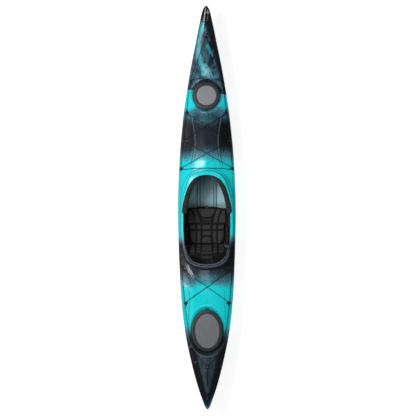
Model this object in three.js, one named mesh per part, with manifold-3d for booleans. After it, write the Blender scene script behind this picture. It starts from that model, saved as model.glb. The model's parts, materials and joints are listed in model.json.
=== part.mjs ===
// Touring sea kayak, 4.27 m long, rotomoulded one-piece hull with a keyhole
// cockpit, two sealed hatches, deck rigging, seat, thigh braces and foot braces.
// Millimetres. +Y bow, +X starboard, +Z up. Origin: bottom centre of the box,
// on the flat of the keel.
import * as THREE from 'three';
import { mergeVertices } from 'three/addons/utils/BufferGeometryUtils.js';
import Module from 'manifold-3d';

const wasm = await Module();
wasm.setup();

// ------------------------------------------------------------------ dimensions
const LENGTH = 4268;            // overall, tip to tip
const HALF = LENGTH / 2;
const WALL = 6;                 // moulded polyethylene wall
const KEEL_FLAT = 60;           // half width of the flat keel strip
const KEEL_STRAIGHT = 900;      // keel is straight for |y| below this
const TIP_HALF = 8;             // half width of the blunt tips

const BOW_HATCH = { y: 1184, a: 140, b: 140, seat: 306 };
const STERN_HATCH = { y: -1304, a: 165, b: 219, seat: 268 };
const HATCH_LAND = 9;           // seat shelf outside the cover
const HATCH_RIM = 36.5;         // width of the cover's black rim
const OVAL_SIDES = 28;

const RIM_RISE = 27;            // coaming rim above the deck at the front
const RIM_THICK = 5;

const LINE_D = 5;               // perimeter line
const BUNGEE_D = 6;             // deck bungee
const EYE_H = 8.8;              // height of a cord's centre in a pad eye
const EYE_OFF = 4.7;            // side offset of a cord in a pad eye
const GAP = 0.4;

// pad eye places on the deck, starboard side: x, y
const EYES = {
  bow_hatch: [158, 1350],
  fore: [205, 1000],
  mid: [235, 710],
  cockpit: [268, 414],
  aft_cockpit: [260, -645],
  aft: [228, -1010],
  stern_hatch: [170, -1479],
};

// half breadth at the sheer: y, half width
const BREADTH = [
  [2134, TIP_HALF], [2112, 24], [2069, 43], [2006, 58], [1942, 71], [1879, 85], [1752, 110], [1625, 137],
  [1498, 162], [1371, 184.5], [1244, 206], [1117, 226], [990, 243.5], [863, 258], [737, 271],
  [610, 282], [483, 291], [356, 298], [229, 303.5], [102, 307], [-25, 308], [-152, 307], [-279, 304.5],
  [-406, 301], [-532, 297], [-659, 291.5], [-786, 285.5], [-913, 278], [-1040, 268], [-1167, 255],
  [-1294, 238], [-1421, 217], [-1548, 191.5], [-1675, 162], [-1801, 129], [-1928, 91], [-1992, 69],
  [-2055, 46], [-2100, 29], [-2134, TIP_HALF],
];
// crown of the deck above the sheer: y, height
const CROWN = [
  [2134, 24], [2000, 36], [1800, 50], [1500, 68], [1184, 82], [1000, 92], [700, 108], [414, 124],
  [150, 118], [-150, 92], [-450, 72], [-660, 66], [-1000, 58], [-1304, 50], [-1600, 45], [-1900, 36],
  [-2134, 20],
];
// cockpit opening, starboard side: x, y
const OPENING = [
  [0, 345], [50, 341], [92, 327], [138, 298], [180, 235], [217, 140], [238, 50], [246, -20],
  [248, -100], [247, -250], [240, -350], [224, -430], [197, -500], [155, -553], [102, -580],
  [50, -591], [0, -594],
];

// ------------------------------------------------------------------ curves
function spline(table) {                    // natural cubic through y-sorted points
  const pts = [...table].sort((p, q) => p[0] - q[0]);
  const n = pts.length, x = pts.map((p) => p[0]), f = pts.map((p) => p[1]);
  const h = [], al = [0], l = [1], mu = [0], z = [0], c = new Array(n).fill(0);
  for (let i = 0; i < n - 1; i++) h.push(x[i + 1] - x[i]);
  for (let i = 1; i < n - 1; i++) al.push(3 * ((f[i + 1] - f[i]) / h[i] - (f[i] - f[i - 1]) / h[i - 1]));
  for (let i = 1; i < n - 1; i++) {
    l.push(2 * (x[i + 1] - x[i - 1]) - h[i - 1] * mu[i - 1]);
    mu.push(h[i] / l[i]);
    z.push((al[i] - h[i - 1] * z[i - 1]) / l[i]);
  }
  for (let i = n - 2; i > 0; i--) c[i] = z[i] - mu[i] * c[i + 1];
  return (v) => {
    let i = 0;
    while (i < n - 2 && v > x[i + 1]) i++;
    const d = v - x[i];
    const b = (f[i + 1] - f[i]) / h[i] - (h[i] * (c[i + 1] + 2 * c[i])) / 3;
    return f[i] + d * (b + d * (c[i] + (d * (c[i + 1] - c[i])) / (3 * h[i])));
  };
}
const smooth = (a, b, v) => {
  const t = Math.min(1, Math.max(0, (v - a) / (b - a)));
  return t * t * (3 - 2 * t);
};
const breadth = spline(BREADTH);
const crown = spline(CROWN);
function keel(y) {
  const u = Math.max(0, Math.abs(y) - KEEL_STRAIGHT) / (HALF - KEEL_STRAIGHT);
  return y > 0 ? 90 * u ** 3.6 + 195 * u ** 14 : 75 * u ** 3.4 + 170 * u ** 16;
}
function sheer(y) {
  return y > -200 ? 212 + 98 * ((y + 200) / (HALF + 200)) ** 1.9 : 212 + 78 * ((-200 - y) / (HALF - 200)) ** 2;
}
const deckPower = (y) => 1.75 + 0.55 * smooth(300, -700, y);
const hullPower = (y) => 2.5 - 1.25 * smooth(650, 2050, Math.abs(y));
const flat = (y) => Math.min(KEEL_FLAT * (1 - smooth(850, 1750, Math.abs(y))) + 3, 0.4 * breadth(y));

function deckZ(x, y) {
  const u = Math.min(1, Math.abs(x) / breadth(y));
  return sheer(y) + crown(y) * (1 - u ** deckPower(y));
}
function deckNormal(x, y) {
  const e = 1.5;
  const n = new THREE.Vector3(
    -(deckZ(x + e, y) - deckZ(x - e, y)) / (2 * e),
    -(deckZ(x, y + e) - deckZ(x, y - e)) / (2 * e),
    1,
  );
  return n.normalize();
}

// half section from the keel's centre, round the sheer, to the deck's centre
function halfSection(y, inset, nb, nd) {
  const b = breadth(y) - inset, zs = sheer(y), zk = keel(y) + inset;
  const c = Math.max(3, crown(y) - inset), w = Math.min(flat(y), b * 0.5), p = hullPower(y), q = deckPower(y);
  const out = [[0, zk]];
  for (let i = 0; i <= nb; i++) {
    const t = (i / nb) * Math.PI / 2;
    out.push([w + (b - w) * Math.sin(t) ** (2 / p), zs - (zs - zk) * Math.max(0, Math.cos(t)) ** (2 / p)]);
  }
  for (let i = 1; i <= nd; i++) {
    const u = 1 - i / nd;
    out.push([b * u, zs + c * (1 - u ** q)]);
  }
  return out;
}
function ring(y, inset, nb, nd) {
  const half = halfSection(y, inset, nb, nd);
  const port = half.slice(1, -1).reverse().map(([x, z]) => [-x, z]);
  return [...half, ...port].map(([x, z]) => [x, y, z]);
}

// ------------------------------------------------------------------ solids
function loft(rings, closed = false) {      // rings of equal count, ends capped
  const n = rings[0].length, m = rings.length, pos = [], idx = [];
  for (const r of rings) for (const p of r) pos.push(...p);
  for (let j = 0; j < (closed ? m : m - 1); j++) {
    const k = (j + 1) % m;
    for (let i = 0; i < n; i++) {
      const a = j * n + i, b = j * n + (i + 1) % n, c = k * n + i, d = k * n + (i + 1) % n;
      idx.push(a, b, d, a, d, c);
    }
  }
  if (!closed) {
    for (const [j, flip] of [[0, true], [m - 1, false]]) {
      const mid = [0, 1, 2].map((k) => rings[j].reduce((s, p) => s + p[k], 0) / n);
      const at = pos.length / 3;
      pos.push(...mid);
      for (let i = 0; i < n; i++) {
        const a = j * n + i, b = j * n + (i + 1) % n;
        if (flip) idx.push(at, b, a); else idx.push(at, a, b);
      }
    }
  }
  const g = new THREE.BufferGeometry();
  g.setAttribute('position', new THREE.Float32BufferAttribute(pos, 3));
  g.setIndex(idx);
  return facingOut(g);
}
function volume(g) {
  const p = g.attributes.position, ix = g.index;
  let v = 0;
  const a = new THREE.Vector3(), b = new THREE.Vector3(), c = new THREE.Vector3();
  for (let i = 0; i < ix.count; i += 3) {
    a.fromBufferAttribute(p, ix.getX(i));
    b.fromBufferAttribute(p, ix.getX(i + 1));
    c.fromBufferAttribute(p, ix.getX(i + 2));
    v += a.dot(b.cross(c)) / 6;
  }
  return v;
}
function facingOut(g) {
  if (volume(g) < 0) {
    const ix = g.index.array;
    for (let i = 0; i < ix.length; i += 3) [ix[i + 1], ix[i + 2]] = [ix[i + 2], ix[i + 1]];
  }
  return g;
}
function weld(g) {
  g = g.clone();
  for (const k of Object.keys(g.attributes)) if (k !== 'position') g.deleteAttribute(k);
  return mergeVertices(g, 1e-4);
}
function solid(g) {
  g = facingOut(weld(g));
  return new wasm.Manifold(new wasm.Mesh({
    numProp: 3,
    vertProperties: new Float32Array(g.attributes.position.array),
    triVerts: new Uint32Array(g.index.array),
  }));
}
function geometry(man) {
  const m = man.getMesh();
  const g = new THREE.BufferGeometry();
  g.setAttribute('position', new THREE.Float32BufferAttribute(m.vertProperties, 3));
  g.setIndex(Array.from(m.triVerts));
  return g;
}
const ellipse = (a, b, cx, cy, z, n) => Array.from({ length: n }, (_, i) => {
  const t = (i / n) * 2 * Math.PI;
  return [cx + a * Math.cos(t), cy + b * Math.sin(t), z];
});
function plug(a, b, cy, z0, z1, n = OVAL_SIDES) {       // elliptical drum
  return loft([ellipse(a, b, 0, cy, z0, n), ellipse(a, b, 0, cy, z1, n)]);
}
// closed profile of [inset from the outline, height] swept round an ellipse
function ovalRing(h, profile, n = OVAL_SIDES) {
  const rings = [];
  for (let i = 0; i < n; i++) {
    const t = (i / n) * 2 * Math.PI;
    rings.push(profile.map(([d, z]) => [(h.a - d) * Math.cos(t), h.y + (h.b - d) * Math.sin(t), h.seat + z]));
  }
  return loft(rings, true);
}
function ovalDisc(h, profile, n = OVAL_SIDES) {          // profile bottom to top
  return loft(profile.map(([d, z]) => ellipse(h.a - d, h.b - d, 0, h.y, h.seat + z, n)));
}
function extrude(points, depth, holes = []) {
  const s = new THREE.Shape(points.map(([x, y]) => new THREE.Vector2(x, y)));
  for (const h of holes) s.holes.push(new THREE.Path(h.map(([x, y]) => new THREE.Vector2(x, y))));
  const g = new THREE.ExtrudeGeometry(s, { depth, bevelEnabled: false, curveSegments: 6 });
  g.translate(0, 0, -depth / 2);
  return g;
}
// place a shape drawn in (side, up, along) on the frame (v, w, t) at p
function place(g, p, v, w, t) {
  const m = new THREE.Matrix4().makeBasis(v, w, t);
  m.setPosition(p);
  return g.applyMatrix4(m);
}
// profile in the x-z plane, run along y
function alongY(points, y0, y1, holes = []) {
  const g = extrude(points, Math.abs(y1 - y0), holes);
  g.rotateX(Math.PI / 2);
  g.translate(0, (y0 + y1) / 2, 0);
  return g;
}

// a cord whose rings sit exactly at the given points
class Route extends THREE.Curve {
  constructor(points) { super(); this.points = points; }
  getPoint(t, out = new THREE.Vector3()) {
    const f = t * (this.points.length - 1), i = Math.min(this.points.length - 2, Math.floor(f));
    return out.copy(this.points[i]).lerp(this.points[i + 1], f - i);
  }
  getPointAt(u, out) { return this.getPoint(u, out); }
  getSpacedPoints(n) { return Array.from({ length: n + 1 }, (_, i) => this.getPoint(i / n)); }
  getTangentAt(u) {
    const n = this.points.length - 1, i = Math.round(u * n);
    const a = this.points[Math.max(0, i - 1)], b = this.points[Math.min(n, i + 1)];
    return b.clone().sub(a).normalize();
  }
}
function cord(control, d, sides = 6, step = 100) {
  const curve = new THREE.CatmullRomCurve3(control, false, 'centripetal');
  const pts = [], n = control.length - 1;
  for (let i = 0; i < n; i++) {
    const len = control[i].distanceTo(control[i + 1]);
    const k = len < 16 ? 1 : len < 40 ? 2 : Math.max(2, Math.ceil(len / step));
    for (let j = 0; j < k; j++) pts.push(curve.getPoint((i + j / k) / n));
  }
  pts.push(curve.getPoint(1));
  const shape = new THREE.Shape(Array.from({ length: sides }, (_, i) => {
    const t = (i / sides) * 2 * Math.PI;
    return new THREE.Vector2((d / 2) * Math.cos(t), (d / 2) * Math.sin(t));
  }));
  return new THREE.ExtrudeGeometry(shape, { steps: pts.length - 1, extrudePath: new Route(pts), bevelEnabled: false });
}

// ------------------------------------------------------------------ assembly
const kayak = new THREE.Group();
const looks = {
  turquoise: { color: '#10c8d0', roughness: 0.32, metalness: 0 },
  black: { color: '#1a1b1d', roughness: 0.5, metalness: 0 },
  rubber: { color: '#34373c', roughness: 0.6, metalness: 0 },
  grey: { color: '#787a80', roughness: 0.6, metalness: 0 },
  fabric: { color: '#242427', roughness: 0.9, metalness: 0 },
  foam: { color: '#3a3d42', roughness: 0.95, metalness: 0 },
  cord: { color: '#16171a', roughness: 0.8, metalness: 0 },
  rope: { color: '#8b8d90', roughness: 0.85, metalness: 0 },
  alloy: { color: '#a8acb0', roughness: 0.35, metalness: 0.9 },
};
function add(name, g, look, parent = kayak) {
  g = facingOut(weld(g));
  g.computeVertexNormals();
  const mesh = new THREE.Mesh(g, new THREE.MeshStandardMaterial(looks[look]));
  mesh.name = name;
  parent.add(mesh);
  return mesh;
}

// ------------------------------------------------------------------ hull shell
const stations = [2134, 2120, 2100, 2069, 2030, 1980, 1910, 1830, 1740, 1640, 1530, 1410, 1290, 1160, 1030, 900,
  750, 600, 450, 300, 150, 0, -150, -300, -450, -600, -750, -900, -1030, -1150,
  -1270, -1390, -1500, -1610, -1710, -1810, -1900, -1975, -2035, -2085, -2117, -2134];
const innerStations = [2040, 1960, 1840, 1680, 1500, 1320, 1140, 940, 740, 540, 340, 120, -100, -320, -540,
  -740, -920, -1100, -1280, -1450, -1610, -1770, -1920, -2020];
const NB = 8, ND = 6;
let outside = solid(loft(stations.map((y) => ring(y, 0, NB, ND))));
let inside = solid(loft(innerStations.map((y) => ring(y, WALL, NB - 2, ND - 1))));
// flat seats for the hatches, sunk into the crowned deck and raised where it falls away
for (const h of [BOW_HATCH, STERN_HATCH]) {
  const a = h.a + HATCH_LAND, b = h.b + HATCH_LAND;
  outside = outside.add(solid(plug(a, b, h.y, h.seat - 60, h.seat)))
    .subtract(solid(plug(a, b, h.y, h.seat, h.seat + 150)));
  inside = inside.add(solid(plug(a - WALL, b - WALL, h.y, h.seat - 60, h.seat - WALL)))
    .subtract(solid(plug(a + WALL, b + WALL, h.y, h.seat - WALL, h.seat + 150)));
}
let hull = outside.subtract(inside);
// hatch collars and mouths
const COLLAR_OUT = 21.5, COLLAR_IN = 29;
for (const h of [BOW_HATCH, STERN_HATCH]) {
  hull = hull.add(solid(ovalRing(h, [[COLLAR_OUT, -3], [COLLAR_OUT, 11], [COLLAR_IN, 11], [COLLAR_IN, -3]])))
    .subtract(solid(plug(h.a - COLLAR_IN, h.b - COLLAR_IN, h.y, h.seat - 90, h.seat + 90)));
}
// coaming: riser and outward lip round the cockpit opening
const openingCurve = (() => {
  const pts = [...OPENING, ...OPENING.slice(1, -1).reverse().map(([x, y]) => [-x, y])];
  return new THREE.CatmullRomCurve3(pts.map(([x, y]) => new THREE.Vector3(x, y, 0)), true, 'centripetal');
})();
const RIM_N = 52;
const openingPts = openingCurve.getSpacedPoints(RIM_N).slice(0, RIM_N);
function rimZ(y) {
  return 300 + 72 * smooth(-250, 400, y) ** 1.25 + 10 * smooth(-350, -600, y);
}
function lipWidth(y) {
  return 27 + 18 * smooth(200, 345, y) + 33 * smooth(-400, -590, y);
}
function openingNormal(i) {
  const a = openingPts[(i + RIM_N - 1) % RIM_N], b = openingPts[(i + 1) % RIM_N];
  const n = new THREE.Vector2(b.y - a.y, -(b.x - a.x)).normalize();
  return n.dot(new THREE.Vector2(openingPts[i].x, openingPts[i].y + 120)) < 0 ? n.negate() : n;
}
const rimRings = openingPts.map((p, i) => {
  const n = openingNormal(i), zt = rimZ(p.y), w = lipWidth(p.y);
  const foot = Math.min(deckZ(p.x, p.y), deckZ(p.x + n.x * 7, p.y + n.y * 7)) - 9;
  return [[0, foot], [0, zt - 2], [4, zt], [w, zt - 3], [w, zt - 3 - RIM_THICK], [7, zt - 1 - RIM_THICK], [7, foot]]
    .map(([d, z]) => [p.x + n.x * d, p.y + n.y * d, z]);
});
hull = hull.add(solid(loft(rimRings, true)))
  .subtract(solid(loft([120, 500].map((z) => openingPts.map((p) => [p.x, p.y, z])))));
add('hull', geometry(hull), 'turquoise');

// ------------------------------------------------------------------ bulkheads
function bulkhead(y, t) {
  const cut = (v) => halfSection(v, WALL + 3.5, NB - 2, ND - 1);
  const a = cut(y - t / 2), b = cut(y + t / 2);
  const half = a.map(([x, z], i) => [Math.min(x, b[i][0]), i < 2 ? Math.max(z, b[i][1]) : z]);
  const all = [...half, ...half.slice(1, -1).reverse().map(([x, z]) => [-x, z])];
  return alongY(all, y - t / 2, y + t / 2);
}
add('bow_bulkhead', bulkhead(745, 30), 'foam');
add('stern_bulkhead', bulkhead(-745, 30), 'foam');

// ------------------------------------------------------------------ hatch covers
for (const [name, h] of [['bow', BOW_HATCH], ['stern', STERN_HATCH]]) {
  const rim = solid(ovalRing(h, [[19, 0.5], [2, 0.5], [0, 3], [0, 15], [6, 21], [30, 23], [HATCH_RIM, 22],
    [HATCH_RIM, 16], [46, 16], [46, 12], [19, 12]]));
  // pull tab moulded on the cockpit side of the rim
  const s = name === 'bow' ? -1 : 1;
  const y0 = h.y + s * (h.b - 8);
  const tab = solid(alongY([[-20, h.seat + 4], [20, h.seat + 4], [20, h.seat + 10], [13, h.seat + 13],
    [-13, h.seat + 13], [-20, h.seat + 10]], y0, y0 + s * 13.6));
  add(`${name}_hatch_rim`, geometry(rim.add(tab)), 'rubber');
  add(`${name}_hatch_panel`, ovalDisc(h, [[HATCH_RIM + 0.5, 16.5], [HATCH_RIM + 0.5, 21.5], [HATCH_RIM + 4, 22.8],
    [HATCH_RIM + 60, 24]]), 'grey');
}

// ------------------------------------------------------------------ deck fittings
const EYE_OUTLINE = [[-23, 0], [23, 0], [23, 2.6], [15, 4.6], [14, 12.5], [11, 15.5], [-11, 15.5], [-14, 12.5],
  [-15, 4.6], [-23, 2.6]];
const EYE_HOLE = [[-9.5, 4.4], [9.5, 4.4], [10.5, 5.6], [10.5, 11.2], [9, 12.8], [-9, 12.8], [-10.5, 11.2],
  [-10.5, 5.6]];
function deckFrame(x, y, dir) {
  const n = deckNormal(x, y);
  const t = new THREE.Vector3(dir[0], dir[1], 0);
  t.addScaledVector(n, -t.dot(n)).normalize();
  const v = n.clone().cross(t);            // sideways
  const p = new THREE.Vector3(x, y, deckZ(x, y)).addScaledVector(n, GAP);
  return { p, n, t, v };
}
const eyeNames = Object.keys(EYES);
const eyes = {};
for (const side of [1, -1]) {
  for (let i = 0; i < eyeNames.length; i++) {
    const k = eyeNames[i], [x, y] = EYES[k];
    const front = y > 0;
    const prev = eyeNames[i - 1] && (EYES[eyeNames[i - 1]][1] > 0) === front ? EYES[eyeNames[i - 1]] : null;
    const next = eyeNames[i + 1] && (EYES[eyeNames[i + 1]][1] > 0) === front ? EYES[eyeNames[i + 1]] : null;
    const a = prev ?? [x, y], b = next ?? [x, y];
    const dir = [side * (b[0] - a[0]), b[1] - a[1]];
    const f = deckFrame(side * x, y, dir);
    f.out = f.v.x * side > 0 ? 1 : -1;     // which way is outboard
    eyes[`${side > 0 ? 'starboard' : 'port'}_${k}`] = f;
    const g = extrude(EYE_OUTLINE, 12, [EYE_HOLE]);
    add(`${side > 0 ? 'starboard' : 'port'}_eye_${k}`, place(g, f.p, f.v, f.n, f.t), 'black');
  }
}
// centre fittings where the lines gather
const centreEyes = {};
for (const [name, y] of [['bow', 1815], ['stern', -1688]]) {
  const f = deckFrame(0, y, [0, 1]);
  centreEyes[name] = f;
  const g = extrude([[-20, 0], [20, 0], [20, 3], [15, 5], [13, 14], [10, 16.5], [-10, 16.5], [-13, 14], [-15, 5], [-20, 3]],
    14, [[[-9, 5], [9, 5], [9.5, 12], [8, 13.6], [-8, 13.6], [-9.5, 12]]]);
  add(`${name}_centre_eye`, place(g, f.p, f.v, f.n, f.t), 'black');
}

// ------------------------------------------------------------------ deck lines
const eyePoint = (f, off, s) => f.p.clone().addScaledVector(f.n, EYE_H).addScaledVector(f.v, off).addScaledVector(f.t, s);
// points between two places, hugging the deck at a height above it
function hug(a, b, n, h, hump = null) {
  const out = [];
  for (let i = 1; i < n; i++) {
    const s = i / n, x = a.x + (b.x - a.x) * s, y = a.y + (b.y - a.y) * s;
    const nn = deckNormal(x, y);
    let up = h;
    if (hump) up += hump[1] * Math.exp(-(((s - hump[0]) / 0.09) ** 2));
    out.push(new THREE.Vector3(x, y, deckZ(x, y)).addScaledVector(nn, up));
  }
  return out;
}
const LINE_UP = LINE_D / 2 + 1.2, BUNGEE_UP = BUNGEE_D / 2 + 1.2;
function through(f, off, first) {           // 3 points through an eye, entered at the end nearer to `first`
  const s = first.clone().sub(f.p).dot(f.t) > 0 ? 1 : -1;
  return [eyePoint(f, off, 9 * s), eyePoint(f, off, 0), eyePoint(f, off, -9 * s)];
}
for (const [side, name] of [[1, 'starboard'], [-1, 'port']]) {
  const E = (k) => eyes[`${name}_${k}`];
  // bow line: from the centre fitting back to the cockpit
  {
    const c = centreEyes.bow;
    const pts = [eyePoint(c, 0, 0).add(new THREE.Vector3(side * 3.6, 8, -0.2)), eyePoint(c, 0, 0).add(new THREE.Vector3(side * 3.6, -9, -0.2))];
    let last = pts[1];
    for (const k of ['bow_hatch', 'fore', 'mid', 'cockpit']) {
      const f = E(k), off = EYE_OFF * f.out;
      const th = through(f, off, last);
      pts.push(...hug(last, th[0], k === 'bow_hatch' ? 5 : 4, LINE_UP), ...th);
      last = th[2];
    }
    add(`${name}_bow_line`, cord(pts, LINE_D), 'cord');
  }
  // stern line: from behind the cockpit to the stern fitting
  {
    const pts = [];
    let last = null;
    for (const k of ['aft_cockpit', 'aft', 'stern_hatch']) {
      const f = E(k), off = EYE_OFF * f.out;
      const th = through(f, off, last ?? f.p.clone().addScaledVector(new THREE.Vector3(0, 1, 0), 50));
      if (last) pts.push(...hug(last, th[0], 4, LINE_UP));
      pts.push(...th);
      last = th[2];
    }
    const c = centreEyes.stern;
    const end = [eyePoint(c, 0, 0).add(new THREE.Vector3(side * 3.6, 9, -0.2)), eyePoint(c, 0, 0).add(new THREE.Vector3(side * 3.6, -8, -0.2))];
    pts.push(...hug(last, end[0], 4, LINE_UP), ...end);
    add(`${name}_stern_line`, cord(pts, LINE_D), 'cord');
  }
}
// front deck bungee, one cord laced through six eyes; it crosses over itself twice
{
  const stops = ['port_fore', 'starboard_mid', 'port_cockpit', 'starboard_cockpit', 'port_mid', 'starboard_fore'];
  const humps = [null, null, null, [0.5, BUNGEE_D + 1.6], [0.5, BUNGEE_D + 1.6]];
  const pts = [];
  let last = null;
  stops.forEach((k, i) => {
    const f = eyes[k], off = -EYE_OFF * f.out;
    const s = [1, 1, 1, -1, -1, -1][i];     // forward to aft going down, aft to forward coming back
    const tf = f.t.y > 0 ? 1 : -1;
    const th = [eyePoint(f, off, 9 * s * tf), eyePoint(f, off, 0), eyePoint(f, off, -9 * s * tf)];
    if (last) pts.push(...hug(last, th[0], i === 3 ? 10 : 8, BUNGEE_UP, humps[i - 1] ? humps[i - 1] : null));
    pts.push(...th);
    last = th[2];
  });
  add('front_deck_bungee', cord(pts, BUNGEE_D), 'cord');
}
// short bungee across the deck ahead of the bow hatch
{
  const a = eyes.port_bow_hatch, b = eyes.starboard_bow_hatch;
  const ta = a.t.y > 0 ? 1 : -1, tb = b.t.y > 0 ? 1 : -1;
  const p = [eyePoint(a, -EYE_OFF * a.out, -9 * ta), eyePoint(a, -EYE_OFF * a.out, 0), eyePoint(a, -EYE_OFF * a.out, 9 * ta)];
  const q = [eyePoint(b, -EYE_OFF * b.out, 9 * tb), eyePoint(b, -EYE_OFF * b.out, 0), eyePoint(b, -EYE_OFF * b.out, -9 * tb)];
  add('bow_hatch_bungee', cord([...p, ...hug(p[2], q[0], 7, BUNGEE_UP), ...q], BUNGEE_D), 'cord');
}
// rear deck bungees: two straight cords, one over the other
for (const [name, from, to, hump] of [['rear_bungee_under', 'port_aft_cockpit', 'starboard_aft', null],
  ['rear_bungee_over', 'starboard_aft_cockpit', 'port_aft', [0.5, BUNGEE_D + 1.6]]]) {
  const a = eyes[from], b = eyes[to];
  const ta = a.t.y > 0 ? 1 : -1, tb = b.t.y > 0 ? 1 : -1;
  const p = [9, 0, -9].map((s) => eyePoint(a, -EYE_OFF * a.out, s * ta));
  const q = [9, 0, -9].map((s) => eyePoint(b, -EYE_OFF * b.out, s * tb));
  add(name, cord([...p, ...hug(p[2], q[0], 8, BUNGEE_UP, hump), ...q], BUNGEE_D), 'cord');
}

// ------------------------------------------------------------------ carry handles
// rope from a rib on the tip to a toggle that lies on the deck; it swings up about the rib
for (const [name, s, yp, tx, ty, ang] of [['bow', 1, 2086, 17, 2004, 0.1], ['stern', -1, -2086, 0, -1992, 0]]) {
  const f = deckFrame(0, yp, [0, 1]);
  const rib = extrude([[-13, 0], [13, 0], [13, 3], [8, 14], [4, 18], [-4, 18], [-8, 14], [-13, 3]], 8,
    [[[-3.8, 6.8], [3.8, 6.8], [3.8, 14.2], [-3.8, 14.2]]]);
  place(rib, f.p, f.t.clone(), f.n, f.v.clone().negate());
  add(`${name}_handle_rib`, rib, 'black');
  const eye = f.p.clone().addScaledVector(f.n, 10.5);
  const dz = (x, y, up) => deckZ(Math.max(-breadth(y) + 2, Math.min(breadth(y) - 2, x)), y) + up;
  const toggleZ = dz(tx, ty, 0) + 14;
  const half = 40;
  const ends = [ty + s * half, ty - s * half];
  // toggle: waisted grip, 80 mm long
  const prof = [[0, -half], [8, -half], [10.5, -half + 3], [10.5, -half + 12], [8.2, -12], [8.2, 12], [10.5, half - 12],
    [10.5, half - 3], [8, half], [0, half]].map(([r, y]) => new THREE.Vector2(r, y));
  const tog = new THREE.LatheGeometry(prof, 12);
  tog.rotateZ(ang * -s);
  tog.translate(tx, ty, toggleZ);
  add(`${name}_toggle`, tog, 'black');
  // rope: through the rib, both legs to the toggle's near end
  const r = 3;
  const endY = ends[0] + s * 1.6;
  const tipX = tx + Math.sin(ang) * half;
  const pts = [
    new THREE.Vector3(tipX - 4.2, endY, toggleZ),
    new THREE.Vector3(tipX - 7, endY + s * 10, toggleZ + 0),
    new THREE.Vector3(-11, yp - s * 14, dz(11, yp - s * 14, 9)),
    new THREE.Vector3(-11, yp - s * 4, eye.z - 0.5),
    new THREE.Vector3(-7, yp, eye.z),
    new THREE.Vector3(7, yp, eye.z),
    new THREE.Vector3(11, yp - s * 4, eye.z - 0.5),
    new THREE.Vector3(12, yp - s * 14, dz(12, yp - s * 14, 9)),
    new THREE.Vector3(tipX + 7, endY + s * 10, toggleZ + 0),
    new THREE.Vector3(tipX + 4.2, endY, toggleZ),
  ];
  add(`${name}_handle_rope`, cord(pts, 2 * r, 8, 30), 'rope');
}

// ------------------------------------------------------------------ drain plug on the stern deck
{
  const f = deckFrame(-122, -1640, [0, 1]);
  const g = new THREE.LatheGeometry([[0, 0], [17, 0], [17, 2], [13.5, 3.5], [13, 9], [11, 11], [0, 11]]
    .map(([r, z]) => new THREE.Vector2(r, z)), 14);
  add('drain_plug', place(g, f.p, f.v, f.n, f.t), 'black');
}

// ------------------------------------------------------------------ paddle keeper, port side
{
  const f = deckFrame(-283, -402, [0, 1]);
  const g = new THREE.LatheGeometry([[0, 0], [10, 0], [10, 3], [6, 5], [6, 8], [10, 11], [9, 15], [0, 17]]
    .map(([r, z]) => new THREE.Vector2(r, z)), 12);
  add('paddle_keeper_knob', place(g, f.p, f.v, f.n, f.t), 'black');
  const e = deckFrame(-279, -580, [0.1, 1]);
  const eg = extrude([[-14, 0], [14, 0], [14, 2.6], [9, 4.6], [8, 12], [5, 14], [-5, 14], [-8, 12], [-9, 4.6], [-14, 2.6]], 10,
    [[[-4.6, 4.2], [4.6, 4.2], [4.6, 11.4], [-4.6, 11.4]]]);
  add('paddle_keeper_eye', place(eg, e.p, e.v, e.n, e.t), 'black');
  const start = e.p.clone().addScaledVector(e.n, 7.8);
  const top = f.p.clone().addScaledVector(f.n, 6.4);
  const P = (x, y, up) => new THREE.Vector3(x, y, deckZ(x, y)).addScaledVector(deckNormal(x, y), up);
  const pts = [start.clone().addScaledVector(e.t, -11), start, start.clone().addScaledVector(e.t, 9),
    P(-284, -545, 5), P(-286, -500, 5), P(-288, -450, 5), P(-289, -422, 5.5), P(-287, -413.5, 6)];
  add('paddle_keeper_bungee', cord(pts, 5, 6, 30), 'cord');
  const hook = extrude([[-5, -15], [5, -15], [6, -8], [6, 8], [3, 15], [-3, 15], [-6, 8], [-6, -8]], 5);
  const h = deckFrame(-262, -508, [-0.35, 1]);
  hook.rotateX(Math.PI / 2);
  hook.rotateX(Math.PI);
  add('paddle_keeper_hook', place(hook, h.p.clone().addScaledVector(h.n, 3.2), h.v, h.n, h.t), 'black');
}

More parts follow.
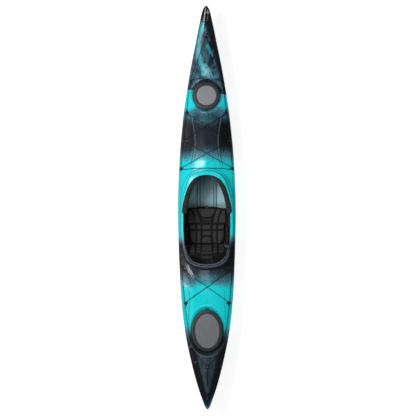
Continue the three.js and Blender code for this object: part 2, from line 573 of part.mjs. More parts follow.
// ------------------------------------------------------------------ thigh braces
// a bracket against the riser and a padded cover that follows the opening
function followOpening(side, y0, y1, n) {   // points on the opening between two heights of y
  const out = [];
  const dense = openingCurve.getSpacedPoints(400).slice(0, 400).filter((p) => p.x > 0 && p.y < y0 && p.y > y1)
    .sort((p, q) => q.y - p.y);
  for (let i = 0; i < n; i++) out.push(dense[Math.round((i / (n - 1)) * (dense.length - 1))]);
  return out.map((p, i) => {
    const a = out[Math.max(0, i - 1)], b = out[Math.min(n - 1, i + 1)];
    const nn = new THREE.Vector2(-(b.y - a.y), b.x - a.x).normalize();
    if (nn.x < 0) nn.negate();
    return { x: side * p.x, y: p.y, nx: side * nn.x, ny: nn.y };
  });
}
for (const [side, name] of [[1, 'starboard'], [-1, 'port']]) {
  const line = followOpening(side, 300, -64, 12);
  const plate = line.map((p) => {
    const z = rimZ(p.y);
    return [[-3, z - 52], [-3, z - 9], [-6.6, z - 9], [-6.6, z - 26], [-32, z - 29], [-32, z - 33], [-6.6, z - 30], [-6.6, z - 52]]
      .map(([d, h]) => [p.x + p.nx * d, p.y + p.ny * d, h]);
  });
  add(`${name}_thigh_brace`, loft(plate), 'black');
  // the cover laps over the rim, more towards its rear end, and hangs inside the opening above the bracket
  const pad = followOpening(side, 314, -66, 17).map((p, i) => {
    const z = rimZ(p.y), f = i / 16, w = 36 + 7 * smooth(0, 0.3, f) - 3 * smooth(0.6, 1, f);
    const e = (3 + 6 * smooth(0, 0.35, f) + 8 * smooth(0.62, 0.86, f)) * smooth(1.06, 0.94, f);
    const g = 1.4 + 1.6 * smooth(0.3, 0, f), inside = [[-8 - g + 1.4, z - 24], [-8 - g + 1.4, z - 8.4], [-g, z - 8.4], [-g, z + 0.8]];
    const section = i === 0 || i === 16
      ? [...inside, [-g - 0.1, z + 1], [-g - 0.2, z + 1.4], [-g - 0.5, z + 2.2], [-g - 1.6, z + 3.2], [-14, z + 3], [-w + 13, z - 0.5], [-w + 6, z - 9],
        [-w + 6, z - 18], [-w + 10, z - 24.6]]
      : [...inside, [e * 0.25, z + 0.8], [e, z + 0.8 - 0.03 * e], [e + 1, z + 2.8], [e * 0.55, z + 5.6], [-14, z + 5.2],
        [-w + 9, z + 1], [-w, z - 8], [-w, z - 18], [-w + 6, z - 25.4]];
    return section.map(([d, h]) => [p.x + p.nx * d, p.y + p.ny * d, h]);
  });
  add(`${name}_thigh_pad`, loft(pad), 'fabric');
}

// ------------------------------------------------------------------ seat
const SEAT_FRONT = 4, SEAT_BREAK = -172, SEAT_REAR = -388;
{
  const half = [[0, 12], [80, 14], [150, 24], [200, 42], [226, 82], [238, 132], [243, 196]];
  const inner = [[235, 197], [229, 133], [217, 86], [192, 52], [146, 34], [80, 24], [0, 22]];
  const right = [...half, ...inner];
  const left = right.slice(1, -1).reverse().map(([x, z]) => [-x, z]);
  add('seat_pan', alongY([...right, ...left], SEAT_FRONT - 8, SEAT_REAR - 10), 'black');
  const base = [[0, 46], [150, 47], [184, 54], [190, 62], [188, 74], [170, 84], [0, 80]];
  const mirror = (pts) => [...pts, ...pts.slice(1, -1).reverse().map(([x, z]) => [-x, z])];
  add('seat_base_pad', alongY(mirror(base), SEAT_BREAK - 4, SEAT_REAR + 6), 'fabric');
  const lift = [[0, 46], [150, 47], [186, 55], [206, 76], [211, 90], [204, 102], [170, 96], [0, 86]];
  add('leg_lifter_pad', alongY(mirror(lift), SEAT_FRONT, SEAT_BREAK), 'fabric');
}
// seat back: a curved frame with a padded cover, hinged at its foot
const BACK_HINGE = { y: -404, z: 84 };
{
  const back = new THREE.Group();
  back.position.set(0, BACK_HINGE.y, BACK_HINGE.z);
  back.rotation.x = THREE.MathUtils.degToRad(27);   // leans aft
  kayak.add(back);
  // drawn upright: x across, z up the back, y fore and aft; rounded lower corners
  const outline = (w, h, c) => [[-w + c, 0], [w - c, 0], [w, c], [w, h - c * 0.7], [w - c * 0.7, h], [-w + c * 0.7, h], [-w, h - c * 0.7], [-w, c]];
  const frame = alongY(outline(186, 214, 46), -18, -10);
  add('seat_back_frame', frame, 'black', back);
  const pad = alongY(outline(194, 228, 52), -9.4, 18);
  pad.translate(0, 0, -4);
  add('seat_back_pad', pad, 'fabric', back);
  const block = alongY([[-58, 150], [58, 150], [58, 196], [-58, 196]], -46, -18.6,
    [[[-26, 162], [26, 162], [26, 184], [-26, 184]]]);
  add('seat_back_adjuster', block, 'grey', back);
}
for (const [side, name] of [[1, 'starboard'], [-1, 'port']]) {
  const hip = [[213, 92], [224, 134], [230, 186], [224, 190], [212, 186], [204, 134], [202, 100]].map(([x, z]) => [side * x, z]);
  add(`${name}_hip_pad`, alongY(hip, -196, -378), 'fabric');
  // webbing strap from the pan to the seat back
  const strap = [new THREE.Vector3(side * 225, -384, 150), new THREE.Vector3(side * 222, -408, 168), new THREE.Vector3(side * 206, -434, 186)];
  const g = loft(strap.map((p) => [[0, -12], [2, -12], [2, 12], [0, 12]].map(([d, h]) => [p.x + side * d, p.y - d, p.z + h])));
  add(`${name}_back_strap`, g, 'cord');
  // foot brace: rail on the hull side and a pedal that slides along it
  const xr = 246;
  const rail = [[xr + 12, 118], [xr + 12, 146], [xr + 4, 146], [xr + 4, 139], [xr, 139], [xr, 125], [xr + 4, 125], [xr + 4, 118]]
    .map(([x, z]) => [side * x, z]);
  add(`${name}_foot_rail`, alongY(rail, 190, 590), 'alloy');
  const slider = [[xr - 8, 116], [xr - 0.5, 116], [xr - 0.5, 148], [xr - 8, 148]];
  const plate = loft([[440, 0], [452, 0]].map(([y]) => [[xr - 8, 104], [xr - 8, 196], [xr - 20, 204], [xr - 74, 196], [xr - 78, 72], [xr - 66, 60], [xr - 36, 62]]
    .map(([x, z]) => [side * x, y + (z - 130) * 0.12, z])));
  const block = alongY(slider.map(([x, z]) => [side * (x - 1), z]), 405, 470);
  const pedal = solid(block).add(solid(plate));
  add(`${name}_foot_pedal`, geometry(pedal), 'black');
}
export default kayak;
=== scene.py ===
import json
import math

import bmesh
import bpy
import numpy as np
from mathutils import Matrix, Vector

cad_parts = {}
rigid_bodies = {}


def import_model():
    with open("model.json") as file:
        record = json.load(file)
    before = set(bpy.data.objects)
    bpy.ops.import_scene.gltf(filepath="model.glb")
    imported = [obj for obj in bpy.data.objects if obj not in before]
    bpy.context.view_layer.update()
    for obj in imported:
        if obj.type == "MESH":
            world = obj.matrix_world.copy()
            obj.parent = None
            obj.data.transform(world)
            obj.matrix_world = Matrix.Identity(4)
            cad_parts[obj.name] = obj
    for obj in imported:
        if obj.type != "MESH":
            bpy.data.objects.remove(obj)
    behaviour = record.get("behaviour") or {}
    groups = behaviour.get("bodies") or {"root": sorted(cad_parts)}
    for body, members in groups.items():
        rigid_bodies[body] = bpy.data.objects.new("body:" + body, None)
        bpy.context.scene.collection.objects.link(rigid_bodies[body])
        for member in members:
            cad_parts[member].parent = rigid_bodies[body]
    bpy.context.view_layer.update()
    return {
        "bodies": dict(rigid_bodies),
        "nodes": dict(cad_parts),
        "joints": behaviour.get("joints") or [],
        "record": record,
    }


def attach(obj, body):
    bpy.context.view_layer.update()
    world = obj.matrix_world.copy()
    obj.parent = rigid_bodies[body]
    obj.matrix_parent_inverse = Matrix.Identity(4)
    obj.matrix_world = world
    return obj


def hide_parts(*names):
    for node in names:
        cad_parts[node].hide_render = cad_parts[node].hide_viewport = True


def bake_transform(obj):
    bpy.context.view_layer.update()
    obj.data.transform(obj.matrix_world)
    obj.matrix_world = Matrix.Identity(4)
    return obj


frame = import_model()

scene = bpy.context.scene
MM = 0.001

# ---------------------------------------------------------------- camera
# straight down on the kayak, bow at the top, as far off as a catalogue picture
cam_data = bpy.data.cameras.new("camera")
cam_data.type = "PERSP"
cam_data.lens = 135
cam_data.sensor_width = 36
cam_data.clip_start = 0.1
cam_data.clip_end = 200
camera = bpy.data.objects.new("camera", cam_data)
scene.collection.objects.link(camera)
camera.location = (0.0125, -0.0035, 0.28 + 16.5)
camera.rotation_euler = (0, 0, math.radians(-0.2))
scene.camera = camera
scene.view_settings.view_transform = "Standard"
scene.view_settings.look = "None"

# ---------------------------------------------------------------- the hull's form, in mm
HALF = 2134.0
WALL = 6.0
BOW_HATCH = dict(y=1184.0, a=140.0, b=140.0, seat=306.0, slope=(26.0, 26.0))
STERN_HATCH = dict(y=-1304.0, a=165.0, b=219.0, seat=268.0, slope=(26.0, 40.0))
LAND = 9.0
BREADTH = [(2134, 8), (2112, 24), (2069, 43), (2006, 58), (1942, 71), (1879, 85), (1752, 110), (1625, 137),
           (1498, 162), (1371, 184.5), (1244, 206), (1117, 226), (990, 243.5), (863, 258), (737, 271),
           (610, 282), (483, 291), (356, 298), (229, 303.5), (102, 307), (-25, 308), (-152, 307), (-279, 304.5),
           (-406, 301), (-532, 297), (-659, 291.5), (-786, 285.5), (-913, 278), (-1040, 268), (-1167, 255),
           (-1294, 238), (-1421, 217), (-1548, 191.5), (-1675, 162), (-1801, 129), (-1928, 91), (-1992, 69),
           (-2055, 46), (-2100, 29), (-2134, 8)]
CROWN = [(2134, 24), (2000, 36), (1800, 50), (1500, 68), (1184, 82), (1000, 92), (700, 108), (414, 124),
         (150, 118), (-150, 92), (-450, 72), (-660, 66), (-1000, 58), (-1304, 50), (-1600, 45), (-1900, 36),
         (-2134, 20)]
OPENING = [(0, 345), (50, 341), (92, 327), (138, 298), (180, 235), (217, 140), (238, 50), (246, -20),
           (248, -100), (247, -250), (240, -350), (224, -430), (197, -500), (155, -553), (102, -580),
           (50, -591), (0, -594)]
EYES = {"bow_hatch": (158, 1350), "fore": (205, 1000), "mid": (235, 710), "cockpit": (268, 414),
        "aft_cockpit": (260, -645), "aft": (228, -1010), "stern_hatch": (170, -1479)}


def natural_spline(table):
    pts = sorted(table)
    x = np.array([p[0] for p in pts], float)
    f = np.array([p[1] for p in pts], float)
    n, h = len(x), np.diff(x)
    A, r = np.eye(n), np.zeros(n)
    for i in range(1, n - 1):
        A[i, i - 1], A[i, i], A[i, i + 1] = h[i - 1], 2 * (h[i - 1] + h[i]), h[i]
        r[i] = 3 * ((f[i + 1] - f[i]) / h[i] - (f[i] - f[i - 1]) / h[i - 1])
    c = np.linalg.solve(A, r)

    def at(v):
        v = np.asarray(v, float)
        i = np.clip(np.searchsorted(x, v, side="left") - 1, 0, n - 2)
        d = v - x[i]
        b = (f[i + 1] - f[i]) / h[i] - h[i] * (c[i + 1] + 2 * c[i]) / 3
        return f[i] + d * (b + d * (c[i] + d * (c[i + 1] - c[i]) / (3 * h[i])))
    return at


def smooth(a, b, v):
    t = np.clip((np.asarray(v, float) - a) / (b - a), 0, 1)
    return t * t * (3 - 2 * t)


def bump(v, width):
    return np.exp(-(v / width) ** 2)


breadth = natural_spline(BREADTH)
crown = natural_spline(CROWN)


def keel(y):
    y = np.asarray(y, float)
    u = np.maximum(0, np.abs(y) - 900) / (HALF - 900)
    return np.where(y > 0, 90 * u ** 3.6 + 195 * u ** 14, 75 * u ** 3.4 + 170 * u ** 16)


def sheer(y):
    y = np.asarray(y, float)
    return np.where(y > -200, 212 + 98 * (np.maximum(0, y + 200) / (HALF + 200)) ** 1.9,
                    212 + 78 * (np.maximum(0, -200 - y) / (HALF - 200)) ** 2)


def deck_power(y):
    return 1.75 + 0.55 * smooth(300, -700, y)


def hull_power(y):
    return 2.5 - 1.25 * smooth(650, 2050, np.abs(y))


def flat(y):
    return np.minimum(60 * (1 - smooth(850, 1750, np.abs(y))) + 3, 0.4 * breadth(y))


def deck_z(x, y):
    u = np.minimum(1, np.abs(x) / breadth(y))
    return sheer(y) + crown(y) * (1 - u ** deck_power(y))


def catmull(points, closed=False, per=12):
    """Centripetal Catmull-Rom through the points, per samples a span."""
    P = np.array(points, float)
    n, out = len(P), []
    for i in range(n if closed else n - 1):
        p1, p2 = P[i], P[(i + 1) % n]
        p0 = P[(i - 1) % n] if closed or i > 0 else 2 * P[0] - P[1]
        p3 = P[(i + 2) % n] if closed or i + 2 < n else 2 * P[-1] - P[-2]
        d1 = max(np.linalg.norm(p2 - p1) ** 0.5, 1e-4)
        d0 = np.linalg.norm(p1 - p0) ** 0.5 or d1
        d2 = np.linalg.norm(p3 - p2) ** 0.5 or d1
        t1 = ((p1 - p0) / d0 - (p2 - p0) / (d0 + d1) + (p2 - p1) / d1) * d1
        t2 = ((p2 - p1) / d1 - (p3 - p1) / (d1 + d2) + (p3 - p2) / d2) * d1
        m = per if np.isscalar(per) else per[i]
        for k in range(m):
            t = k / m
            out.append(p1 + t1 * t + (-3 * p1 + 3 * p2 - 2 * t1 - t2) * t * t + (2 * p1 - 2 * p2 + t1 + t2) * t ** 3)
    if not closed:
        out.append(P[-1])
    return np.array(out)


class Outline:
    """A closed curve in the plane, anticlockwise, with outward normals."""

    def __init__(self, pts):
        self.p = np.array(pts, float)
        q = np.roll(self.p, -1, axis=0)
        self.len = np.linalg.norm(q - self.p, axis=1)
        self.s = np.concatenate([[0], np.cumsum(self.len)])
        self.total = self.s[-1]
        d = np.roll(self.p, -1, axis=0) - np.roll(self.p, 1, axis=0)
        d /= np.linalg.norm(d, axis=1)[:, None]
        self.n = np.c_[d[:, 1], -d[:, 0]]

    def at(self, s):
        s = np.mod(s, 1.0) * self.total
        i = np.clip(np.searchsorted(self.s, s, side="right") - 1, 0, len(self.p) - 1)
        t = ((s - self.s[i]) / self.len[i])[:, None]
        j = (i + 1) % len(self.p)
        n = self.n[i] * (1 - t) + self.n[j] * t
        return self.p[i] * (1 - t) + self.p[j] * t, n / np.linalg.norm(n, axis=1)[:, None]

    def hit(self, o, d):
        """Where the rays o + t d leave the curve, as shares of its length."""
        a, b = self.p, np.roll(self.p, -1, axis=0)
        e = b - a
        out = np.zeros(len(o))
        for k in range(len(o)):
            den = d[k, 0] * e[:, 1] - d[k, 1] * e[:, 0]
            w = a - o[k]
            with np.errstate(divide="ignore", invalid="ignore"):
                t = (w[:, 0] * e[:, 1] - w[:, 1] * e[:, 0]) / den
                u = (w[:, 0] * d[k, 1] - w[:, 1] * d[k, 0]) / den
            ok = np.where((t > 0) & (u >= 0) & (u < 1))[0]
            i = ok[np.argmax(t[ok])]
            out[k] = (self.s[i] + u[i] * self.len[i]) / self.total
        return out

    def distance(self, x, y):
        """Distance outside the curve; negative inside."""
        shape = np.shape(x)
        P = np.c_[np.ravel(x), np.ravel(y)]
        out = np.empty(len(P))
        a, b = self.p, np.roll(self.p, -1, axis=0)
        e = b - a
        ee = (e ** 2).sum(1)
        for i in range(0, len(P), 4000):
            q = P[i:i + 4000]
            w = q[:, None, :] - a[None]
            t = np.clip((w * e[None]).sum(2) / ee, 0, 1)
            r = w - t[..., None] * e[None]
            d2 = (r ** 2).sum(2)
            k = d2.argmin(1)
            rows = np.arange(len(q))
            side = (r[rows, k] * self.n[k]).sum(1)
            out[i:i + 4000] = np.sqrt(d2[rows, k]) * np.where(side < 0, -1, 1)
        return out.reshape(shape)


right = OPENING[::-1]                       # from the rear, up the starboard side
left = [(-x, y) for x, y in OPENING[1:-1]]
opening = Outline(catmull([*right, *left], True, 10))


def hatch_outline(h, inset):
    t = np.linspace(0, 2 * np.pi, 361)[:-1]
    return Outline(np.c_[(h["a"] - inset) * np.cos(t), h["y"] + (h["b"] - inset) * np.sin(t)])


def rim_z(y):
    return 300 + 72 * smooth(-250, 400, y) ** 1.25 + 10 * smooth(-350, -600, y)


def lip_width(y):
    return 27 + 18 * smooth(200, 345, y) + 33 * smooth(-400, -590, y)


ridge_x = natural_spline([(1010, 157), (925, 150), (860, 138), (795, 129), (725, 123), (650, 124), (590, 130),
                          (520, 140), (420, 165), (360, 176)])


def hatch_blend(h, x, y, z):
    """The moulded seat of a hatch, with a slope up or down to the deck round it."""
    a, b = h["a"] + LAND, h["b"] + LAND
    dy = y - h["y"]
    r = np.hypot(x, dy) + 1e-9
    rho = np.sqrt((x / a) ** 2 + (dy / b) ** 2) + 1e-9
    d = r * (1 - 1 / rho)
    L = h["slope"][0] + (h["slope"][1] - h["slope"][0]) * (dy / r) ** 2
    k = smooth(0, 1, d / L)
    z = z + 1.8 * bump(d - L - 2, 6.5)       # soft bead where the slope meets the deck
    return h["seat"] * (1 - k) + z * k


def surface(x, y):
    """Height of the moulded deck."""
    x, y = np.broadcast_arrays(np.asarray(x, float), np.asarray(y, float))
    b, ax = breadth(y), np.abs(x)
    D = np.zeros_like(x)
    inside = smooth(0, 26, b - ax)           # nothing is moulded right at the edge
    # centre crease
    fore = 7.5 * smooth(395, 520, y) * (1 - 0.45 * smooth(1300, 2000, y)) * smooth(2115, 2040, y)
    aft = 4.0 * smooth(-1560, -1660, y) * smooth(-2110, -2040, y)
    D += (fore + aft) * np.clip(1 - (np.sqrt(x ** 2 + 16) - 4) / (0.62 * b), 0, 1)
    # ridges of the fore deck panel
    rx = ridge_x(np.clip(y, 360, 1010))
    on = smooth(1000, 960, y) * smooth(405, 440, y)
    D += on * (4.0 * bump(ax - rx, 5.0) - 2.2 * bump(ax - rx - 10, 5.0) + 2.2 * smooth(rx + 6, rx - 6, ax))
    # ridges beside the rear deck
    rr = 197 + 9 * smooth(-950, -1270, y)
    D += smooth(-850, -900, y) * smooth(-1290, -1240, y) * (3.0 * bump(ax - rr, 5.0) - 1.7 * bump(ax - rr + 10, 5.0))
    # channel inside the gunwale
    D -= 2.4 * bump(b - ax - 25, 4.6) * smooth(1500, 1400, y) * smooth(-1700, -1600, y)
    near = (y > -840) & (y < 600)
    if near.any():
        xn, yn, an = x[near], y[near], ax[near]
        d = opening.distance(xn, yn)
        off = 34 + 31 * smooth(0, 300, yn)
        E = 5.0 * smooth(off + 7, off - 7, d) * smooth(-70, 40, yn)
        e = np.sqrt((xn / 232) ** 2 + ((yn + 420) / 365) ** 2)
        E += 8.0 * (1 - smooth(0.95, 1.14, e)) * smooth(-380, -540, yn)
        D[near] += E
    D *= inside
    for ex, ey in EYES.values():             # flat ground under each pad eye
        D *= 1 - np.exp(-((ax - ex) ** 2 + (y - ey) ** 2) / 26.0 ** 2)
    for cx, cy, r in ((0, 1815, 24), (0, -1688, 24), (0, 2086, 20), (0, -2086, 20), (-122, -1640, 26),
                      (-283, -402, 16), (-279, -580, 18)):
        D *= 1 - np.exp(-((x - cx) ** 2 + (y - cy) ** 2) / float(r) ** 2)
    z = deck_z(x, y) + D + 0.3 * inside
    for h in (BOW_HATCH, STERN_HATCH):
        z = np.where(np.abs(y - h["y"]) < h["b"] + 110, hatch_blend(h, x, y, z), z)
    return z


def deck_normal(x, y):
    e = 1.5
    n = np.array([-(deck_z(x + e, y) - deck_z(x - e, y)) / (2 * e), -(deck_z(x, y + e) - deck_z(x, y - e)) / (2 * e), 1.0])
    return n / np.linalg.norm(n)


# ---------------------------------------------------------------- mesh helpers
class Patches:
    """Collects grids and strips of points in mm; shared borders are welded at the end."""

    def __init__(self):
        self.v, self.f, self.m, self.n = [], [], [], 0

    def points(self, P):
        P = np.asarray(P, float).reshape(-1, 3)
        first = self.n
        self.v.append(P)
        self.n += len(P)
        return first

    def grid(self, P, mat=0, around=False):
        """P is rows by columns by 3; around joins the last column to the first."""
        P = np.asarray(P, float)
        r, c = P.shape[:2]
        at = self.points(P)
        idx = at + np.arange(r * c).reshape(r, c)
        if around:
            idx = np.c_[idx, idx[:, :1]]
        q = np.stack([idx[:-1, :-1], idx[:-1, 1:], idx[1:, 1:], idx[1:, :-1]], axis=-1).reshape(-1, 4)
        self.f.append(q)
        self.m.append(np.full(len(q), mat))
        return idx

    def fan(self, loop, mat=0, centre=None):
        P = np.asarray(loop, float)
        c = P.mean(0) if centre is None else np.asarray(centre, float)
        at = self.points(P)
        mid = self.points(c)
        i = np.arange(len(P))
        t = np.stack([at + i, at + (i + 1) % len(P), np.full(len(P), mid)], axis=-1)
        self.f.append(t)
        self.m.append(np.full(len(t), mat))

    def zipper(self, A, sa, B, sb, mat=0):
        """Triangles between two closed loops of unlike counts, matched by their places s in 0..1."""
        a0, b0 = self.points(A), self.points(B)
        na, nb = len(A), len(B)
        oa, ob = np.argsort(sa), np.argsort(sb)
        tri, i, j = [], 0, 0
        while i < na or j < nb:
            ca = sa[oa[(i + 1) % na]] + (1 if i + 1 >= na else 0) if i < na else 9e9
            cb = sb[ob[(j + 1) % nb]] + (1 if j + 1 >= nb else 0) if j < nb else 9e9
            ia, ib = a0 + oa[i % na], b0 + ob[j % nb]
            if ca <= cb:
                tri.append((ia, a0 + oa[(i + 1) % na], ib))
                i += 1
            else:
                tri.append((ia, b0 + ob[(j + 1) % nb], ib))
                j += 1
        self.f.append(np.array(tri))
        self.m.append(np.full(len(tri), mat))

    def mesh(self, name, weld=2e-5, sharp=None):
        V = np.concatenate(self.v) * MM
        me = bpy.data.meshes.new(name)
        faces = [tuple(int(i) for i in q) for part in self.f for q in part]
        me.from_pydata(V.tolist(), [], faces)
        me.polygons.foreach_set("material_index", np.concatenate(self.m).astype(np.int32))
        bm = bmesh.new()
        bm.from_mesh(me)
        bmesh.ops.remove_doubles(bm, verts=bm.verts, dist=weld)
        bmesh.ops.dissolve_degenerate(bm, edges=bm.edges, dist=1e-6)
        bmesh.ops.recalc_face_normals(bm, faces=bm.faces)
        bm.to_mesh(me)
        bm.free()
        me.polygons.foreach_set("use_smooth", np.ones(len(me.polygons), bool))
        if sharp is not None:
            me.set_sharp_from_angle(angle=math.radians(sharp))
        return me


def add_piece(name, me, body="kayak", mats=(), replaces=()):
    ob = bpy.data.objects.new(name, me)
    scene.collection.objects.link(ob)
    for m in mats:
        me.materials.append(m)
    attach(ob, body)
    if replaces:
        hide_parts(*replaces)
    return ob


# ---------------------------------------------------------------- node helpers
class Nodes:
    def __init__(self, name):
        self.mat = bpy.data.materials.new(name)
        self.mat.use_nodes = True
        self.t = self.mat.node_tree
        self.t.nodes.clear()
        self.out = self.t.nodes.new("ShaderNodeOutputMaterial")
        self.bsdf = self.t.nodes.new("ShaderNodeBsdfPrincipled")
        self.t.links.new(self.bsdf.outputs[0], self.out.inputs[0])
        self.bsdf.inputs["IOR"].default_value = 1.5

    def node(self, kind, **props):
        n = self.t.nodes.new(kind)
        for k, v in props.items():
            setattr(n, k, v)
        return n

    def put(self, socket, value):
        if isinstance(value, bpy.types.NodeSocket):
            self.t.links.new(value, socket)
        elif value is not None:
            if hasattr(value, "__len__") and len(value) == 3 and socket.type == "RGBA":
                value = (*value, 1)
            socket.default_value = value

    def math(self, op, a, b=None, c=None, clamp=False):
        n = self.node("ShaderNodeMath", operation=op, use_clamp=clamp)
        self.put(n.inputs[0], a)
        self.put(n.inputs[1], b)
        self.put(n.inputs[2], c)
        return n.outputs[0]

    def coords(self, kind="Object"):
        return self.node("ShaderNodeTexCoord").outputs[kind]

    def xyz(self, v):
        n = self.node("ShaderNodeSeparateXYZ")
        self.put(n.inputs[0], v)
        return n.outputs

    def scaled(self, v, s, loc=(0, 0, 0), rot=(0, 0, 0)):
        n = self.node("ShaderNodeMapping")
        self.put(n.inputs["Vector"], v)
        n.inputs["Scale"].default_value = s
        n.inputs["Location"].default_value = loc
        n.inputs["Rotation"].default_value = rot
        return n.outputs[0]

    def noise(self, v, scale, detail=3.0, rough=0.5, distortion=0.0):
        n = self.node("ShaderNodeTexNoise")
        self.put(n.inputs["Vector"], v)
        n.inputs["Scale"].default_value = scale
        n.inputs["Detail"].default_value = detail
        n.inputs["Roughness"].default_value = rough
        n.inputs["Distortion"].default_value = distortion
        return n.outputs["Fac"] if "Fac" in n.outputs else n.outputs[0]

    def voronoi(self, v, scale, feature="F1", out="Distance"):
        n = self.node("ShaderNodeTexVoronoi", feature=feature)
        self.put(n.inputs["Vector"], v)
        n.inputs["Scale"].default_value = scale
        return n.outputs[out]

    def ramp(self, fac, stops, interpolation="LINEAR"):
        n = self.node("ShaderNodeValToRGB")
        n.color_ramp.interpolation = interpolation
        e = n.color_ramp.elements
        while len(e) > 1:
            e.remove(e[-1])
        for i, (p, c) in enumerate(stops):
            el = e[0] if i == 0 else e.new(p)
            el.position = p
            if np.isscalar(c):
                c = (c, c, c)
            el.color = (*c, 1)
        self.put(n.inputs[0], fac)
        return n.outputs[0]

    def mix(self, fac, a, b, blend="MIX"):
        n = self.node("ShaderNodeMix", data_type="RGBA", blend_type=blend)
        self.put(n.inputs[0], fac)
        self.put(n.inputs[6], a)
        self.put(n.inputs[7], b)
        return n.outputs[2]

    def map(self, v, a, b, c=0.0, d=1.0, kind="SMOOTHSTEP"):
        n = self.node("ShaderNodeMapRange", interpolation_type=kind)
        self.put(n.inputs[0], v)
        for i, x in enumerate((a, b, c, d)):
            n.inputs[i + 1].default_value = x
        return n.outputs[0]

    def bump(self, height, strength, distance, normal=None):
        n = self.node("ShaderNodeBump")
        self.put(n.inputs["Height"], height)
        n.inputs["Strength"].default_value = strength
        n.inputs["Distance"].default_value = distance
        self.put(n.inputs["Normal"], normal)
        return n.outputs[0]

    def finish(self, color=None, rough=None, normal=None, **sockets):
        b = self.bsdf
        if color is not None:
            self.put(b.inputs["Base Color"], color)
        if rough is not None:
            self.put(b.inputs["Roughness"], rough)
        if normal is not None:
            self.put(b.inputs["Normal"], normal)
        for k, v in sockets.items():
            b.inputs[k.replace("_", " ")].default_value = v
        return self.mat


def hull_stops(stops):
    """(y in metres, value) turned into places on the hull's length."""
    return [((y + HALF * MM) / (2 * HALF * MM), v) for y, v in stops]


